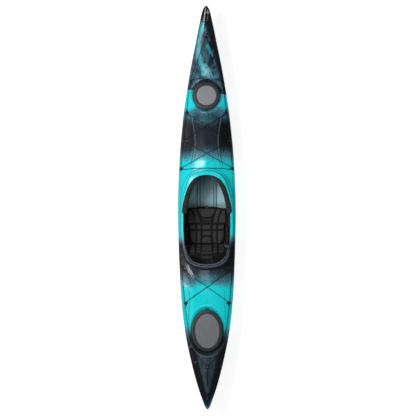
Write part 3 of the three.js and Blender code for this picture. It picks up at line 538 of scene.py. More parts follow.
def make_hull_material(name, inner=False):
    m = Nodes(name)
    P = m.coords()
    x, y, z = m.xyz(P)
    streak = m.noise(m.scaled(P, (9, 1.7, 9)), 1.0, 5.0, 0.62, 0.6)          # long swirls of pigment
    grain = m.noise(m.scaled(P, (1, 0.55, 1)), 75.0, 4.0, 0.7)               # mottle, 1 to 2 cm
    fine = m.noise(m.scaled(P, (1, 0.8, 1)), 330.0, 2.0, 0.6)                # pepper, a few mm
    # the edges of the bright bands wander
    wander = m.math("MULTIPLY", m.math("SUBTRACT", streak, 0.5), 0.10)
    keep = m.math("SUBTRACT", 1.0, m.math("MULTIPLY", m.map(y, 1.04, 1.12), 0.94))
    ys = m.math("ADD", y, m.math("MULTIPLY", wander, keep))
    centre = m.map(m.math("ABSOLUTE", x), 0.17, 0.02)
    lift = m.math("SUBTRACT", m.map(y, 0.80, 0.88, 0.0, 0.035), m.map(y, 0.72, 0.64, 0.0, 0.022))
    ys = m.math("ADD", ys, m.math("MULTIPLY", m.math("MULTIPLY", centre, lift), m.map(y, 1.12, 1.04)))
    behind = m.math("MULTIPLY", m.math("MULTIPLY", m.map(y, 1.125, 1.05), m.map(y, 0.90, 0.97)), m.map(m.math("ABSOLUTE", x), 0.165, 0.09))
    ys = m.math("SUBTRACT", ys, m.math("MULTIPLY", behind, 0.062))
    slant = m.math("MULTIPLY", m.math("MULTIPLY", x, 0.14), m.map(y, 1.12, 1.20))
    ys = m.math("ADD", ys, slant)
    f = m.map(ys, -HALF * MM, HALF * MM, 0, 1, "LINEAR")
    T = m.ramp(f, hull_stops([
        (-2.134, 0.30), (-2.09, 0.10), (-2.03, 0.0), (-1.46, 0.0), (-1.39, 0.10), (-1.32, 0.42), (-1.255, 0.90),
        (-1.20, 1.0), (-0.905, 1.0), (-0.865, 0.92), (-0.83, 0.70), (-0.785, 0.40), (-0.72, 0.14), (-0.66, 0.03), (-0.61, 0.0),
        (-0.43, 0.0), (-0.375, 0.15), (-0.32, 0.7), (-0.275, 1.0), (0.435, 1.0), (0.47, 0.88), (0.505, 0.66), (0.555, 0.35),
        (0.61, 0.10), (0.67, 0.0), (0.86, 0.0), (0.91, 0.10), (0.965, 0.28), (1.02, 0.46), (1.06, 0.78), (1.10, 1.0),
        (1.2245, 1.0)]))
    T = m.math("MULTIPLY", T, m.map(ys, 1.227, 1.221))
    T = m.xyz(T)[0]
    soft = m.math("MULTIPLY", m.math("MULTIPLY", T, m.math("SUBTRACT", 1.0, T)), 4.0)
    pepper = m.math("ADD", m.math("MULTIPLY", m.math("SUBTRACT", grain, 0.5), 0.9),
                    m.math("MULTIPLY", m.math("SUBTRACT", fine, 0.5), 1.1))
    T = m.math("ADD", T, m.math("MULTIPLY", pepper, soft), clamp=True)
    # bow: brushed strokes of bright pigment, each (y, x, half width, strength)
    bow = m.map(y, 1.235, 1.29)
    ragged = m.math("SUBTRACT", m.noise(m.scaled(P, (24, 8, 24)), 1.6, 6.0, 0.68, 0.7), 0.5)
    hairs = m.noise(m.scaled(P, (120, 10, 120)), 1.0, 4.0, 0.6)
    blots = m.noise(m.scaled(P, (34, 20, 34)), 1.2, 5.0, 0.66, 0.6)

    def stroke(pts, jitter=0.034, cut=(0.36, 0.56, 0.12)):
        y0, y1 = pts[0][0] - 0.004, pts[-1][0] + 0.004
        c = m.ramp(m.map(y, y0, y1, 0, 1, "LINEAR"),
                   [((q - y0) / (y1 - y0), ((v + 0.15) / 0.30, h / 0.08, k)) for q, v, h, k in pts])
        r, g, b = m.xyz(c)
        px = m.math("SUBTRACT", m.math("MULTIPLY", r, 0.30), 0.15)
        off = m.math("ADD", m.math("SUBTRACT", x, px), m.math("MULTIPLY", ragged, jitter))
        q = m.math("DIVIDE", m.math("ABSOLUTE", off), m.math("MULTIPLY", g, 0.08))
        k = m.math("MULTIPLY", m.map(q, 1.45, 0.15), b)
        return m.math("MULTIPLY", k, m.map(m.math("ADD", m.math("MULTIPLY", hairs, 0.45), m.math("MULTIPLY", blots, 0.55)),
                                           cut[0], cut[1], cut[2], 1.0))
    s1 = stroke([(1.52, -0.106, 0.010, 0.0), (1.538, -0.104, 0.012, 0.25), (1.577, -0.0976, 0.014, 0.6),
                 (1.617, -0.0945, 0.016, 0.8), (1.670, -0.0900, 0.017, 0.85), (1.709, -0.0860, 0.020, 0.95), (1.749, -0.0810, 0.021, 1.0),
                 (1.802, -0.0710, 0.021, 1.0), (1.842, -0.0625, 0.024, 1.0), (1.868, -0.0500, 0.030, 1.0), (1.908, -0.0480, 0.028, 1.0),
                 (1.945, -0.0440, 0.017, 0.75), (1.975, -0.0400, 0.010, 0.35), (2.005, -0.037, 0.007, 0.0)])
    s1 = m.math("MULTIPLY", s1, m.map(m.noise(m.scaled(P, (30, 14, 30)), 1.0, 4.0, 0.6, 0.8), 0.36, 0.52, 0.45, 1.0))
    s1 = m.math("MAXIMUM", s1, stroke([
        (1.385, -0.040, 0.020, 0.0), (1.400, -0.038, 0.026, 0.6), (1.420, -0.034, 0.030, 0.8), (1.458, -0.036, 0.026, 0.95),
        (1.491, -0.045, 0.022, 1.0), (1.531, -0.0566, 0.020, 1.0), (1.571, -0.0612, 0.020, 1.0), (1.610, -0.0700, 0.018, 0.95),
        (1.657, -0.0764, 0.020, 0.9), (1.700, -0.0750, 0.016, 0.5), (1.730, -0.075, 0.012, 0.0)]))
    s2 = stroke([(1.585, 0.080, 0.010, 0.0), (1.605, 0.0690, 0.014, 0.7), (1.630, 0.0570, 0.021, 1.0), (1.657, 0.0412, 0.025, 1.0),
                 (1.683, 0.0260, 0.022, 0.9), (1.709, 0.0135, 0.016, 0.6), (1.735, 0.004, 0.012, 0.0)], 0.026, (0.40, 0.57, 0.05))
    # cloudy pale patch in front of the hatch
    s3 = stroke([(1.352, 0.070, 0.030, 0.0), (1.366, 0.060, 0.052, 0.55), (1.382, 0.040, 0.062, 0.8), (1.399, 0.018, 0.062, 0.85),
                 (1.419, 0.004, 0.052, 0.95), (1.445, 0.002, 0.048, 1.0), (1.472, -0.006, 0.038, 1.0), (1.500, -0.012, 0.022, 0.8),
                 (1.53, -0.014, 0.014, 0.0)], 0.040, (0.38, 0.54, 0.12))
    line = m.math("SUBTRACT", x, m.math("MULTIPLY", m.math("SUBTRACT", 1.90, y), 0.285))
    line = m.math("ADD", line, m.math("MULTIPLY", m.math("SUBTRACT", streak, 0.5), 0.05))
    left_of = m.map(line, 0.016, -0.012)
    swirl = m.noise(m.scaled(P, (16, 5.2, 16)), 1.4, 6.0, 0.66, 1.4)
    marble = m.math("MULTIPLY", m.map(swirl, 0.34, 0.62), left_of)
    marble = m.math("MULTIPLY", marble, m.math("MULTIPLY", bow, m.map(y, 1.98, 1.86)))
    # two pale swirled planes on the stern, the starboard one painted darker as shade, and a line of painted shade along
    # the crease between them
    ax_ = m.math("ABSOLUTE", x)
    half = m.math("ADD", 0.105, m.math("MULTIPLY", m.math("ADD", y, 1.60), 0.244))
    stern_swirl_and_shade = m.math("MULTIPLY", m.map(m.math("SUBTRACT", half, ax_), -0.008, 0.016), m.map(y, -1.50, -1.575))
    stern_swirl_and_shade = m.math("MULTIPLY", stern_swirl_and_shade, m.map(y, -2.02, -1.93))
    stern_swirl_and_shade = m.math("MULTIPLY", stern_swirl_and_shade, m.map(swirl, 0.30, 0.60, 0.45, 1.0))
    # painted shade: the starboard plane darker than the port one
    stern_swirl_and_shade = m.math("MULTIPLY", stern_swirl_and_shade, m.map(x, 0.02, -0.02, 0.62, 1.0))
    # painted shade in the centre crease
    seam = m.math("MULTIPLY", m.math("MULTIPLY", m.map(ax_, 0.0085, 0.0030), m.map(y, -1.66, -1.70)), m.map(y, -1.92, -1.86))
    stern_swirl_and_shade = m.math("MULTIPLY", stern_swirl_and_shade, m.math("SUBTRACT", 1.0, m.math("MULTIPLY", seam, 0.95)))
    navy = m.mix(m.map(grain, 0.3, 0.75), (0.0030, 0.0048, 0.0078), (0.0085, 0.0125, 0.0185))
    # warm charcoal outboard of the front panel to port: partly the plastic's own tone, partly painted light on the side
    # facing the light
    port_charcoal_and_light = m.math("MULTIPLY", m.math("MULTIPLY", m.map(y, 0.60, 0.70), m.map(y, 0.97, 0.88)), m.map(x, -0.14, -0.20))
    navy = m.mix(m.math("MULTIPLY", port_charcoal_and_light, 0.8), navy, (0.028, 0.0270, 0.0275))
    # painted shade with the plastic's tone: the starboard side outboard is made black
    black = m.math("MULTIPLY", m.map(y, 0.55, 0.65), m.map(x, 0.13, 0.17))
    navy = m.mix(m.math("MULTIPLY", black, 0.75), navy, (0.0022, 0.0026, 0.0036))
    navy = m.mix(m.math("MULTIPLY", m.map(streak, 0.45, 0.75), 0.35), navy, (0.020, 0.026, 0.034))
    # slate between the front ridges
    slate = m.math("MULTIPLY", m.math("MULTIPLY", m.map(y, 0.50, 0.60), m.map(y, 1.00, 0.90)), m.map(m.math("ABSOLUTE", x), 0.135, 0.100))
    slate = m.math("MULTIPLY", slate, m.map(x, -0.03, 0.03, 0.45, 1.0))
    navy = m.mix(m.math("MULTIPLY", slate, 0.85), navy, m.mix(m.map(grain, 0.3, 0.75), (0.0120, 0.0170, 0.0230), (0.0190, 0.0250, 0.0330)))
    base = m.mix(m.math("MULTIPLY", marble, 0.90), navy, (0.056, 0.140, 0.195))
    base = m.mix(m.math("MULTIPLY", m.map(y, -1.36, -1.50), 0.75), base, (0.0038, 0.0052, 0.0075))
    base = m.mix(m.math("MULTIPLY", stern_swirl_and_shade, 0.9), base, (0.046, 0.072, 0.092))
    turq = m.mix(m.map(grain, 0.25, 0.8), (0.0012, 0.565, 0.605), (0.0022, 0.63, 0.665))
    # through blue-grey on the way from dark to bright
    mid = m.mix(m.map(T, 0.0, 0.46), base, (0.050, 0.175, 0.235))
    colour = m.mix(m.map(T, 0.42, 0.94), mid, turq)
    colour = m.mix(m.math("MULTIPLY", s1, 0.95), colour, (0.048, 0.47, 0.53))
    colour = m.mix(m.math("MULTIPLY", s2, 0.90), colour, (0.048, 0.42, 0.50))
    colour = m.mix(m.math("MULTIPLY", s3, 0.92), colour, m.mix(m.map(blots, 0.45, 0.65), (0.13, 0.42, 0.50), (0.27, 0.58, 0.63)))
    # the stern tip is bright again, and the starboard edge near it
    tip = m.math("MAXIMUM", m.map(y, -2.085, -2.115), m.math("MULTIPLY", m.map(y, -1.93, -2.0), m.map(m.math("SUBTRACT", x, m.math("MULTIPLY", m.math("ADD", y, 2.13), 0.42)), -0.012, 0.004)))
    colour = m.mix(m.math("MULTIPLY", tip, 0.75), colour, (0.010, 0.20, 0.25))
    if inner:
        dusty = m.mix(m.map(grain, 0.3, 0.7), (0.205, 0.350, 0.410), (0.295, 0.455, 0.515))
        colour = m.mix(0.86, colour, dusty)
        # painted shade: dark lines beside the ribs of the floor
        ax = m.math("ABSOLUTE", x)
        ribs = m.math("ADD", m.map(m.math("ABSOLUTE", m.math("SUBTRACT", ax, 0.073)), 0.010, 0.0030),
                      m.map(m.math("ABSOLUTE", m.math("SUBTRACT", ax, 0.102)), 0.009, 0.0028), clamp=True)
        ribs = m.math("MULTIPLY", ribs, m.map(z, 0.10, 0.05))
        colour = m.mix(m.math("MULTIPLY", ribs, 0.95), colour, (0.008, 0.050, 0.082))
        # painted shade: darker forward under the deck, along the sides, towards the back of the cockpit and high up
        # under the deck
        colour = m.mix(m.math("MULTIPLY", m.map(y, 0.08, 0.36), 0.80), colour, (0.030, 0.082, 0.118))
        colour = m.mix(m.math("MULTIPLY", m.map(y, 0.075, 0.02), 0.55), colour, (0.030, 0.060, 0.085))
        colour = m.mix(m.math("MULTIPLY", m.map(ax, 0.12, 0.20), 0.35), colour, (0.035, 0.090, 0.120))
        colour = m.mix(m.math("MULTIPLY", m.map(y, -0.40, -0.56), 0.85), colour, (0.008, 0.030, 0.042))
        colour = m.mix(m.map(z, 0.24, 0.10), m.mix(0.55, colour, (0.010, 0.035, 0.050)), colour)
        rough = m.map(fine, 0.2, 0.8, 0.50, 0.66, "LINEAR")
        normal = m.bump(fine, 0.35, 0.0008)
        return m.finish(colour, rough, normal, Specular_IOR_Level=0.3)
    # painted shade and painted highlights beside what is moulded in the deck: dark lines where shade falls, pale lines
    # on crests and beads
    def field(key):
        return m.xyz(m.node("ShaderNodeAttribute", attribute_name=key).outputs["Vector"])

    def mul(*v):
        out = v[0]
        for k in v[1:]:
            out = m.math("MULTIPLY", out, k)
        return out

    def line(v, centre, width):
        t = m.math("DIVIDE", m.math("SUBTRACT", v, centre), width)
        return m.math("POWER", 2.71828, m.math("MULTIPLY", m.math("MULTIPLY", t, t), -1.0))

    def most(*v):
        out = v[0]
        for k in v[1:]:
            out = m.math("MAXIMUM", out, k)
        return out
    od, lq, le = field("field_lip")
    lip, sh, rd = field("field_deck")
    ed, sa, _ = field("field_edge")
    sd, se, sq = field("field_seat")
    off_lip = m.math("SUBTRACT", 1.0, lip)
    rear = m.map(y, -0.33, -0.50)
    ahead = m.math("SUBTRACT", 1.0, rear)
    # painted shade in the rear lip's groove and along the lips' edges, and a painted shadow line on the deck round the
    # lip
    dark_lip = mul(lip, most(mul(line(lq, 0.335, 0.055), rear, 0.9), mul(m.map(lq, 0.72, 0.80), rear),
                             mul(m.map(lq, 0.84, 0.95), ahead, 0.55), mul(m.map(od, 2.0, 0.5), 0.5)))
    outline = mul(off_lip, m.map(le, 11.0, 2.0), m.map(le, -14.0, -6.0), m.math("ADD", 0.62, mul(rear, 0.38)))
    # painted highlights on the rear lip's crests and on the front lip's inner rounding
    pale_lip = mul(lip, most(mul(rear, line(lq, 0.17, 0.09), 0.34), mul(rear, line(lq, 0.55, 0.12), 0.42),
                             mul(ahead, line(od, 5.0, 4.0), 0.20)))
    # painted shade and painted highlight beside the shoulder round the front of the coaming
    on = mul(m.map(y, -0.09, 0.02), off_lip)
    dark_sh, pale_sh = mul(on, line(sh, 5.0, 4.2), 0.60), mul(on, line(sh, -5.0, 5.0), 0.16)
    # painted shade beside the front ridges and a painted highlight on their crests, fainter to port
    on = mul(m.map(y, 1.02, 0.95), m.map(y, 0.40, 0.47))
    port = m.map(x, 0.02, -0.02)
    faint = m.math("SUBTRACT", 1.0, mul(port, 0.45))
    dark_r = mul(on, most(mul(line(rd, 10.5, 5.0), 0.85), mul(line(rd, -9.5, 4.4), 0.80)))
    pale_r = mul(on, line(rd, 0.0, 4.2), faint, 0.80)
    # painted shade and painted highlight beside the rear ridges
    on = mul(m.map(y, -0.85, -0.90), m.map(y, -1.29, -1.24))
    dark_a, pale_a = mul(on, line(rd, -9.0, 4.5), 0.55), mul(on, line(rd, 0.0, 4.5), 0.12)
    # painted shade in the gunwale channel, on the strips outboard of it and along the sheer
    on = mul(m.map(y, 1.50, 1.40), m.map(y, -1.70, -1.60))
    dark_e = most(mul(on, line(ed, 25.0, 5.0), 0.45), mul(on, m.map(ed, 24.0, 12.0), m.map(ed, -8.0, 0.0), 0.26),
                  mul(m.map(ed, -60.0, 0.0), m.map(ed, 9.0, 2.0), 0.30))
    # painted shade round the hatch seats: a dark ring at the rim and a darker slope on one side
    near_ = m.map(sd, 70.0, 60.0)
    dark_s = mul(near_, most(mul(m.map(sd, 5.0, 2.0), 0.92), mul(sa, m.map(se, 1.0, -8.0), 0.86),
                             mul(m.math("SUBTRACT", 1.0, sa), m.map(sq, 0.8, 0.3), 0.40)))
    # painted highlight on the beads round the hatch seats, brighter starboard and aft of the bow hatch and ahead of the
    # stern hatch
    glint = mul(m.math("SUBTRACT", 1.0, sa), m.map(y, 0.0, 0.5), m.map(x, -0.02, 0.03), 0.55)
    glint = most(glint, mul(m.math("SUBTRACT", 1.0, sa), m.map(y, 0.0, -0.5), m.map(m.math("ABSOLUTE", x), 0.12, 0.06), 0.22))
    pale_s = mul(near_, line(se, 4.0, 4.4), m.math("ADD", m.math("ADD", 0.06, mul(sa, 0.36)), glint))
    # painted shade standing in for a finger notch at each hatch's tab, which is not modelled
    painted_notch_shade = mul(near_, m.math("SUBTRACT", 1.0, m.map(sa, 0.02, 0.2)), m.map(m.math("ABSOLUTE", x), 0.027, 0.017), m.map(sd, 21.0, 13.0), 0.97)
    dark = most(dark_lip, outline, dark_sh, dark_r, dark_a, dark_e, dark_s, painted_notch_shade)
    pale = most(pale_lip, pale_sh, pale_r, pale_a, pale_s)
    # multiply the painted shade in, then add the painted highlights
    colour = m.mix(dark, colour, (0.12, 0.15, 0.17), "MULTIPLY")
    colour = m.mix(pale, colour, (0.11, 0.160, 0.19), "ADD")
    # fine wear: faint scuffs along the length
    scuff = m.noise(m.scaled(P, (240, 9, 240)), 1.0, 3.0, 0.6)
    rough = m.math("ADD", m.map(grain, 0.2, 0.8, 0.17, 0.27, "LINEAR"), m.map(scuff, 0.58, 0.82, 0.0, 0.13))
    peel = m.noise(P, 420.0, 2.0, 0.5)
    wave = m.noise(m.scaled(P, (1, 0.6, 1)), 24.0, 2.0, 0.5)
    normal = m.bump(wave, 0.06, 0.004, m.bump(peel, 0.12, 0.0005))
    # dull in the creases; the strip outboard of the rear ridges is worn dull by the paddle
    worn = mul(m.map(m.math("ABSOLUTE", x), 0.145, 0.170), m.map(y, -0.82, -0.88), m.map(y, -1.50, -1.35))
    # and the starboard slopes beside the cockpit's ends, rubbed by hands and gear
    rubbed = m.math("MAXIMUM", mul(m.map(x, 0.02, 0.07), m.map(y, 0.28, 0.36), m.map(y, 0.74, 0.64)),
                    mul(m.map(x, 0.01, 0.05), m.map(y, -0.60, -0.68), m.map(y, -1.40, -1.30)))
    worn = m.math("MAXIMUM", worn, rubbed)
    rough = m.math("ADD", rough, m.math("ADD", m.math("MULTIPLY", worn, 0.42), m.math("MULTIPLY", dark, 0.40)))
    rough = m.math("SUBTRACT", rough, m.math("MULTIPLY", m.map(y, 1.86, 1.92), 0.06))
    return m.finish(colour, rough, normal, Specular_IOR_Level=0.12)


hull_outer = make_hull_material("hull_plastic")
hull_inner = make_hull_material("hull_inside", inner=True)

# ---------------------------------------------------------------- hull shell
NX = 88                                       # columns across the deck
NS = 22                                       # columns down each side


def spread(y0, y1, step):
    return np.linspace(y0, y1, max(2, int(round(abs(y1 - y0) / step)) + 1))


ZONES = [("plain", 2134, 1374), ("bow", 1374, 994), ("plain", 994, 560), ("cockpit", 560, -816),
         ("plain", -816, -1016), ("stern", -1016, -1596), ("plain", -1596, -2134)]


def zone_stations(a, b, step):
    if a == 2134:
        near = [2134, 2133.2, 2131.5, 2129, 2125, 2119, 2111, 2102]
        return np.array([*near, *spread(2094, b, step)])
    if b == -2134:
        near = [-2102, -2111, -2119, -2125, -2129, -2131.5, -2133.2, -2134]
        return np.array([*spread(a, -2094, step), *near])
    return spread(a, b, step)


U = np.linspace(1, -1, NX + 1)                # starboard to port
T_SIDE = np.linspace(0, 1, NS + 1)


def tip_shrink(y):
    """The ends are rounded over the last 12 mm."""
    d = np.maximum(0, np.abs(y) - (HALF - 12)) / 12
    return np.sqrt(np.maximum(0.02, 1 - d ** 2))


def round_tip(P):
    y = P[..., 1]
    k = tip_shrink(y)[..., None]
    c = np.stack([np.zeros_like(y), y, np.where(y > 0, 310.0, 280.0)], -1)
    out = c + (P - c) * k
    out[..., 1] = y
    return np.where((np.abs(y) > HALF - 12)[..., None], out, P)


def deck_rows(Y, cols=U, height=surface, inset=0.0):
    b = breadth(Y) - inset
    X = b[:, None] * cols[None]
    YY = np.broadcast_to(Y[:, None], X.shape)
    if inset:
        Z = height(X * (breadth(Y) / b)[:, None], YY) - inset
    else:
        Z = height(X, YY)
    return np.stack([X, YY, Z], -1)


def side_rows(Y, side, inset=0.0, n=T_SIDE, rib=False):
    b = breadth(Y) - inset
    zs, zk = sheer(Y) - inset, keel(Y) + inset
    w = np.minimum(flat(Y), b * 0.5)
    p = hull_power(Y)
    t = (1 - n) * np.pi / 2
    X = w[:, None] + (b - w)[:, None] * np.sin(t)[None] ** (2 / p)[:, None]
    Z = zs[:, None] - (zs - zk)[:, None] * np.maximum(0, np.cos(t))[None] ** (2 / p)[:, None]
    X = np.c_[X, w * 0.5, 0 * w]
    Z = np.c_[Z, zk, zk]
    Y2 = np.broadcast_to(Y[:, None], X.shape)
    if inset:
        if rib:                               # stiffening ribs moulded in the cockpit floor
            on = (smooth(-640, -560, Y2) * smooth(700, 620, Y2)) * smooth(120, 60, Z)
            Z = Z + 7.0 * on * (bump(X - 87, 9.5) - 0.35 * bump(X - 112, 8))
    else:
        on = smooth(1500, 900, np.abs(Y2))
        X = X - 0.0 * on
    return np.stack([side * X, Y2, Z], -1)


shell = Patches()


def outer_loop(Y, cols):
    """Round a zone in the plane, anticlockwise from the aft starboard corner."""
    up = np.c_[breadth(Y[::-1]), Y[::-1]][:-1]
    top = np.c_[breadth(Y[0]) * cols, np.full(len(cols), Y[0])][:-1]
    down = np.c_[-breadth(Y), Y][:-1]
    low = np.c_[breadth(Y[-1]) * cols[::-1], np.full(len(cols), Y[-1])][:-1]
    return np.concatenate([up, top, down, low])


def rays_to(outline, loop, y_lo, y_hi):
    o = np.c_[np.zeros(len(loop)), np.clip(loop[:, 1], y_lo, y_hi)]
    return outline.hit(o, loop - o)


def lerp_rings(loop, ring, shares):
    return np.stack([loop * (1 - s) + ring * s for s in shares])


def on_deck(XY, height=surface):
    return np.concatenate([XY, height(XY[..., 0], XY[..., 1])[..., None]], -1)


def inner_height(x, y):
    b = breadth(y)
    return surface(x * b / (b - WALL), y) - WALL


def inner_on_deck(XY):
    return np.concatenate([XY, inner_height(XY[..., 0], XY[..., 1])[..., None]], -1)


U_IN = np.linspace(1, -1, 29)
T_IN = np.linspace(0, 1, 25)
for kind, ya, yb in ZONES:
    Y = zone_stations(ya, yb, 10.8)
    # inner surface: coarser, and it ends short of the solid tips
    Yi = spread(min(ya, 2040), max(yb, -2020), 26.0)
    for side in (1, -1):
        shell.grid(round_tip(side_rows(Y, side)))
        shell.grid(side_rows(Yi, side, WALL, T_IN, rib=True), 1)
    if kind == "plain":
        shell.grid(round_tip(deck_rows(Y)))
        shell.grid(deck_rows(Yi, U_IN, surface, WALL), 1)
        continue
    loop = outer_loop(Y, U)
    loop_in = outer_loop(Yi, U_IN)
    # the inner loop lies a wall in from the sheer
    bi = breadth(loop_in[:, 1])
    loop_in = np.c_[loop_in[:, 0] * (bi - WALL) / bi, loop_in[:, 1]]
    if kind == "cockpit":
        s = rays_to(opening, loop, -250, 60)
        P, n = opening.at(s)
        foot = P + 26 * n
        shares = np.linspace(0, 1, 33) ** 1.0
        rings = list(on_deck(lerp_rings(loop, foot, shares)))
        zt, w = rim_z(P[:, 1]), lip_width(P[:, 1])
        H = surface(*(P + 16 * n).T)
        H7 = surface(*(P + 8 * n).T)
        room = np.clip((zt - 11 - H7) * 0.75, 3, 19)
        rear = smooth(-400, -560, P[:, 1])

        def at(d, z):
            d = np.broadcast_to(d, (len(P),))
            return np.c_[P + d[:, None] * n, z]
        prof = [at(19, surface(*(P + 19 * n).T) + 0.04 * room), at(14.5, H + 0.16 * room),
                at(11, H7 + 0.36 * room), at(8.6, H7 + 0.66 * room), at(7.2, H7 + room),
                at(7, (H7 + room + zt - 10) / 2), at(7, zt - 10), at(7.5, zt - 8.6), at(9, zt - 8),
                at(w * 0.5, zt - 8), at(w - 3, zt - 8.1), at(w - 0.8, zt - 7.6), at(w, zt - 6.4), at(w, zt - 5.2 - 1.0 * rear),
                at(w - 0.8, zt - 3.9 - 1.6 * rear), at(w - 3, zt - 3.1 - 2.1 * rear),
                at(w * 0.84, zt - 2.4 - 2.6 * rear), at(w * 0.76, zt - 2.1 - 2.8 * rear), at(w * 0.70, zt - 1.9 - 0.5 * rear),
                at(w * 0.60, zt - 1.7 + 0.2 * rear), at(w * 0.46, zt - 1.3 + 0.1 * rear), at(w * 0.40, zt - 1.1 - 0.3 * rear),
                at(w * 0.36, zt - 0.9 - 2.6 * rear), at(w * 0.31, zt - 0.7 - 2.6 * rear), at(w * 0.27, zt - 0.4 - 0.2 * rear),
                at(6.5, zt), at(3.6, zt - 0.1), at(1.5, zt - 0.8), at(0.35, zt - 2.2), at(0, zt - 4)]
        low = surface(*P.T) - 9
        for k in np.linspace(0, 1, 7)[1:]:
            prof.append(at(0, (zt - 4) * (1 - k) + low * k))
        shell.grid(np.stack(rings + prof), 0, around=True)
        s_in = rays_to(opening, loop_in, -250, 60)
        Pi, ni = opening.at(s_in)
        hole = Pi + 6 * ni
        ring_in = list(inner_on_deck(lerp_rings(loop_in, hole, np.linspace(0, 1, 9))))
        ring_in[-1][:, 2] = surface(*hole.T) - 8
        shell.grid(np.stack(ring_in), 1, around=True)
        shell.zipper(prof[-1], s, ring_in[-1], s_in, 1)
    else:
        h = BOW_HATCH if kind == "bow" else STERN_HATCH
        reach = h["b"] - h["a"]
        seat_edge = hatch_outline(h, -LAND)
        mouth = hatch_outline(h, 29)
        s = rays_to(seat_edge, loop, h["y"] - reach, h["y"] + reach)
        E, n = seat_edge.at(s)
        th = np.arctan2((E[:, 1] - h["y"]) / (h["b"] + LAND), E[:, 0] / (h["a"] + LAND))

        def oval(inset, dz):
            return np.c_[(h["a"] - inset) * np.cos(th), h["y"] + (h["b"] - inset) * np.sin(th),
                         np.full(len(th), h["seat"] + dz)]
        shares = np.linspace(0, 1, 27)
        rings = list(on_deck(lerp_rings(loop, E, shares)))
        rings[-1] = oval(-LAND, 0)
        prof = [oval(-LAND + 2.5, 0), oval(10, 0), oval(20.6, 0), oval(21.5, 0.9), oval(21.5, 9.6), oval(22.4, 11),
                oval(28.1, 11), oval(29, 9.6), oval(29, 2), oval(29, -6)]
        shell.grid(np.stack(rings + prof), 0, around=True)
        s_in = rays_to(seat_edge, loop_in, h["y"] - reach, h["y"] + reach)
        Ei, ni = seat_edge.at(s_in)
        thi = np.arctan2((Ei[:, 1] - h["y"]) / (h["b"] + LAND), Ei[:, 0] / (h["a"] + LAND))

        def oval_in(inset, dz):
            return np.c_[(h["a"] - inset) * np.cos(thi), h["y"] + (h["b"] - inset) * np.sin(thi),
                         np.full(len(thi), h["seat"] + dz)]
        ring_in = list(inner_on_deck(lerp_rings(loop_in, Ei, np.linspace(0, 1, 10))))
        ring_in[-1] = oval_in(-LAND, -WALL)
        ring_in += [oval_in(8, -WALL), oval_in(25.5, -WALL - 0.2)]
        shell.grid(np.stack(ring_in), 1, around=True)
        key = th / (2 * np.pi) % 1.0
        key_in = thi / (2 * np.pi) % 1.0
        shell.zipper(prof[-1], key, ring_in[-1], key_in, 1)
# close the tips and the ends of the inner surface
for y, cols, n, inset, mat in ((2134.0, U, T_SIDE, 0.0, 0), (-2134.0, U, T_SIDE, 0.0, 0), (2040.0, U_IN, T_IN, WALL, 1),
                               (-2020.0, U_IN, T_IN, WALL, 1)):
    Y = np.array([y])
    d = deck_rows(Y, cols, surface, inset)[0]
    st = side_rows(Y, 1, inset, n)[0]
    pt = side_rows(Y, -1, inset, n)[0]
    ring = np.concatenate([d[:-1], pt[:-1], st[::-1][:-1]])
    ring = round_tip(ring) if not inset else ring
    shell.fan(ring, mat)
me = shell.mesh("hull", sharp=40)
# round the gunwale: relax the points near the sheer line
bm = bmesh.new()
bm.from_mesh(me)
co = np.array([v.co for v in bm.verts]) / MM
b = breadth(np.clip(co[:, 1], -HALF, HALF))
near = (b - np.abs(co[:, 0]) < 11) & (np.abs(co[:, 2] - sheer(co[:, 1])) < 11) & (np.abs(co[:, 1]) < 2118)
bm.verts.ensure_lookup_table()
soft = [bm.verts[i] for i in np.where(near)[0]]
outer_faces = {f for f in bm.faces if f.material_index == 0}
soft = [v for v in soft if all(f in outer_faces for f in v.link_faces)]
for _ in range(5):
    bmesh.ops.smooth_vert(bm, verts=soft, factor=0.5, use_axis_x=True, use_axis_y=False, use_axis_z=True)
bad = sum(1 for e in bm.edges if len(e.link_faces) != 2)
print("hull: verts", len(bm.verts), "faces", len(bm.faces), "open or shared edges", bad)
bm.to_mesh(me)
bm.free()
me.polygons.foreach_set("use_smooth", np.ones(len(me.polygons), bool))
me.set_sharp_from_angle(angle=math.radians(42))


def hull_fields(co):
    """Distances in mm from the moulded features, for the lines of painted shade and painted highlight that the material
    draws beside them.
    """
    x, y, z = co.T
    ax, b = np.abs(x), breadth(np.clip(y, -HALF, HALF))
    n = len(co)
    top = z > sheer(y) - 6
    d, q, e, lip, shoulder = np.full(n, 200.0), np.full(n, 9.0), np.full(n, 200.0), np.zeros(n), np.full(n, 200.0)
    near = (y > -900) & (y < 660) & top
    xn, yn, zn = x[near], y[near], z[near]
    dn = opening.distance(xn, yn)
    w = lip_width(np.clip(yn, -594, 345))
    d[near], q[near], e[near] = dn, dn / w, dn - w
    lip[near] = (zn > rim_z(yn) - 13.5) & (dn < w + 4)
    shoulder[near] = dn - (34 + 31 * smooth(0, 300, yn))
    ridge = np.where(y > 200, ax - ridge_x(np.clip(y, 360, 1010)), ax - (197 + 9 * smooth(-950, -1270, y)))
    edge = np.where(top, b - ax, np.minimum(0, z - sheer(y)))
    sd, se, sa = np.full(n, 200.0), np.full(n, 200.0), np.zeros(n)
    for h, fore in ((BOW_HATCH, 1), (STERN_HATCH, -1)):
        ha, hb = h["a"] + LAND, h["b"] + LAND
        dy = y - h["y"]
        r = np.hypot(x, dy) + 1e-9
        rho = np.sqrt((x / ha) ** 2 + (dy / hb) ** 2) + 1e-9
        dist = r * (1 - 1 / rho)
        L = h["slope"][0] + (h["slope"][1] - h["slope"][0]) * (dy / r) ** 2
        on = top & (dist < 120)
        sd = np.where(on, dist, sd)
        se = np.where(on, dist - L, se)
        sa = np.where(on, smooth(-0.35, 0.55, fore * dy / r), sa)
    return {"field_lip": np.c_[d, q, e], "field_deck": np.c_[lip, shoulder, ridge], "field_edge": np.c_[edge, sa, 0 * sa],
            "field_seat": np.c_[sd, se, sd / (sd - se + 1e-6)]}


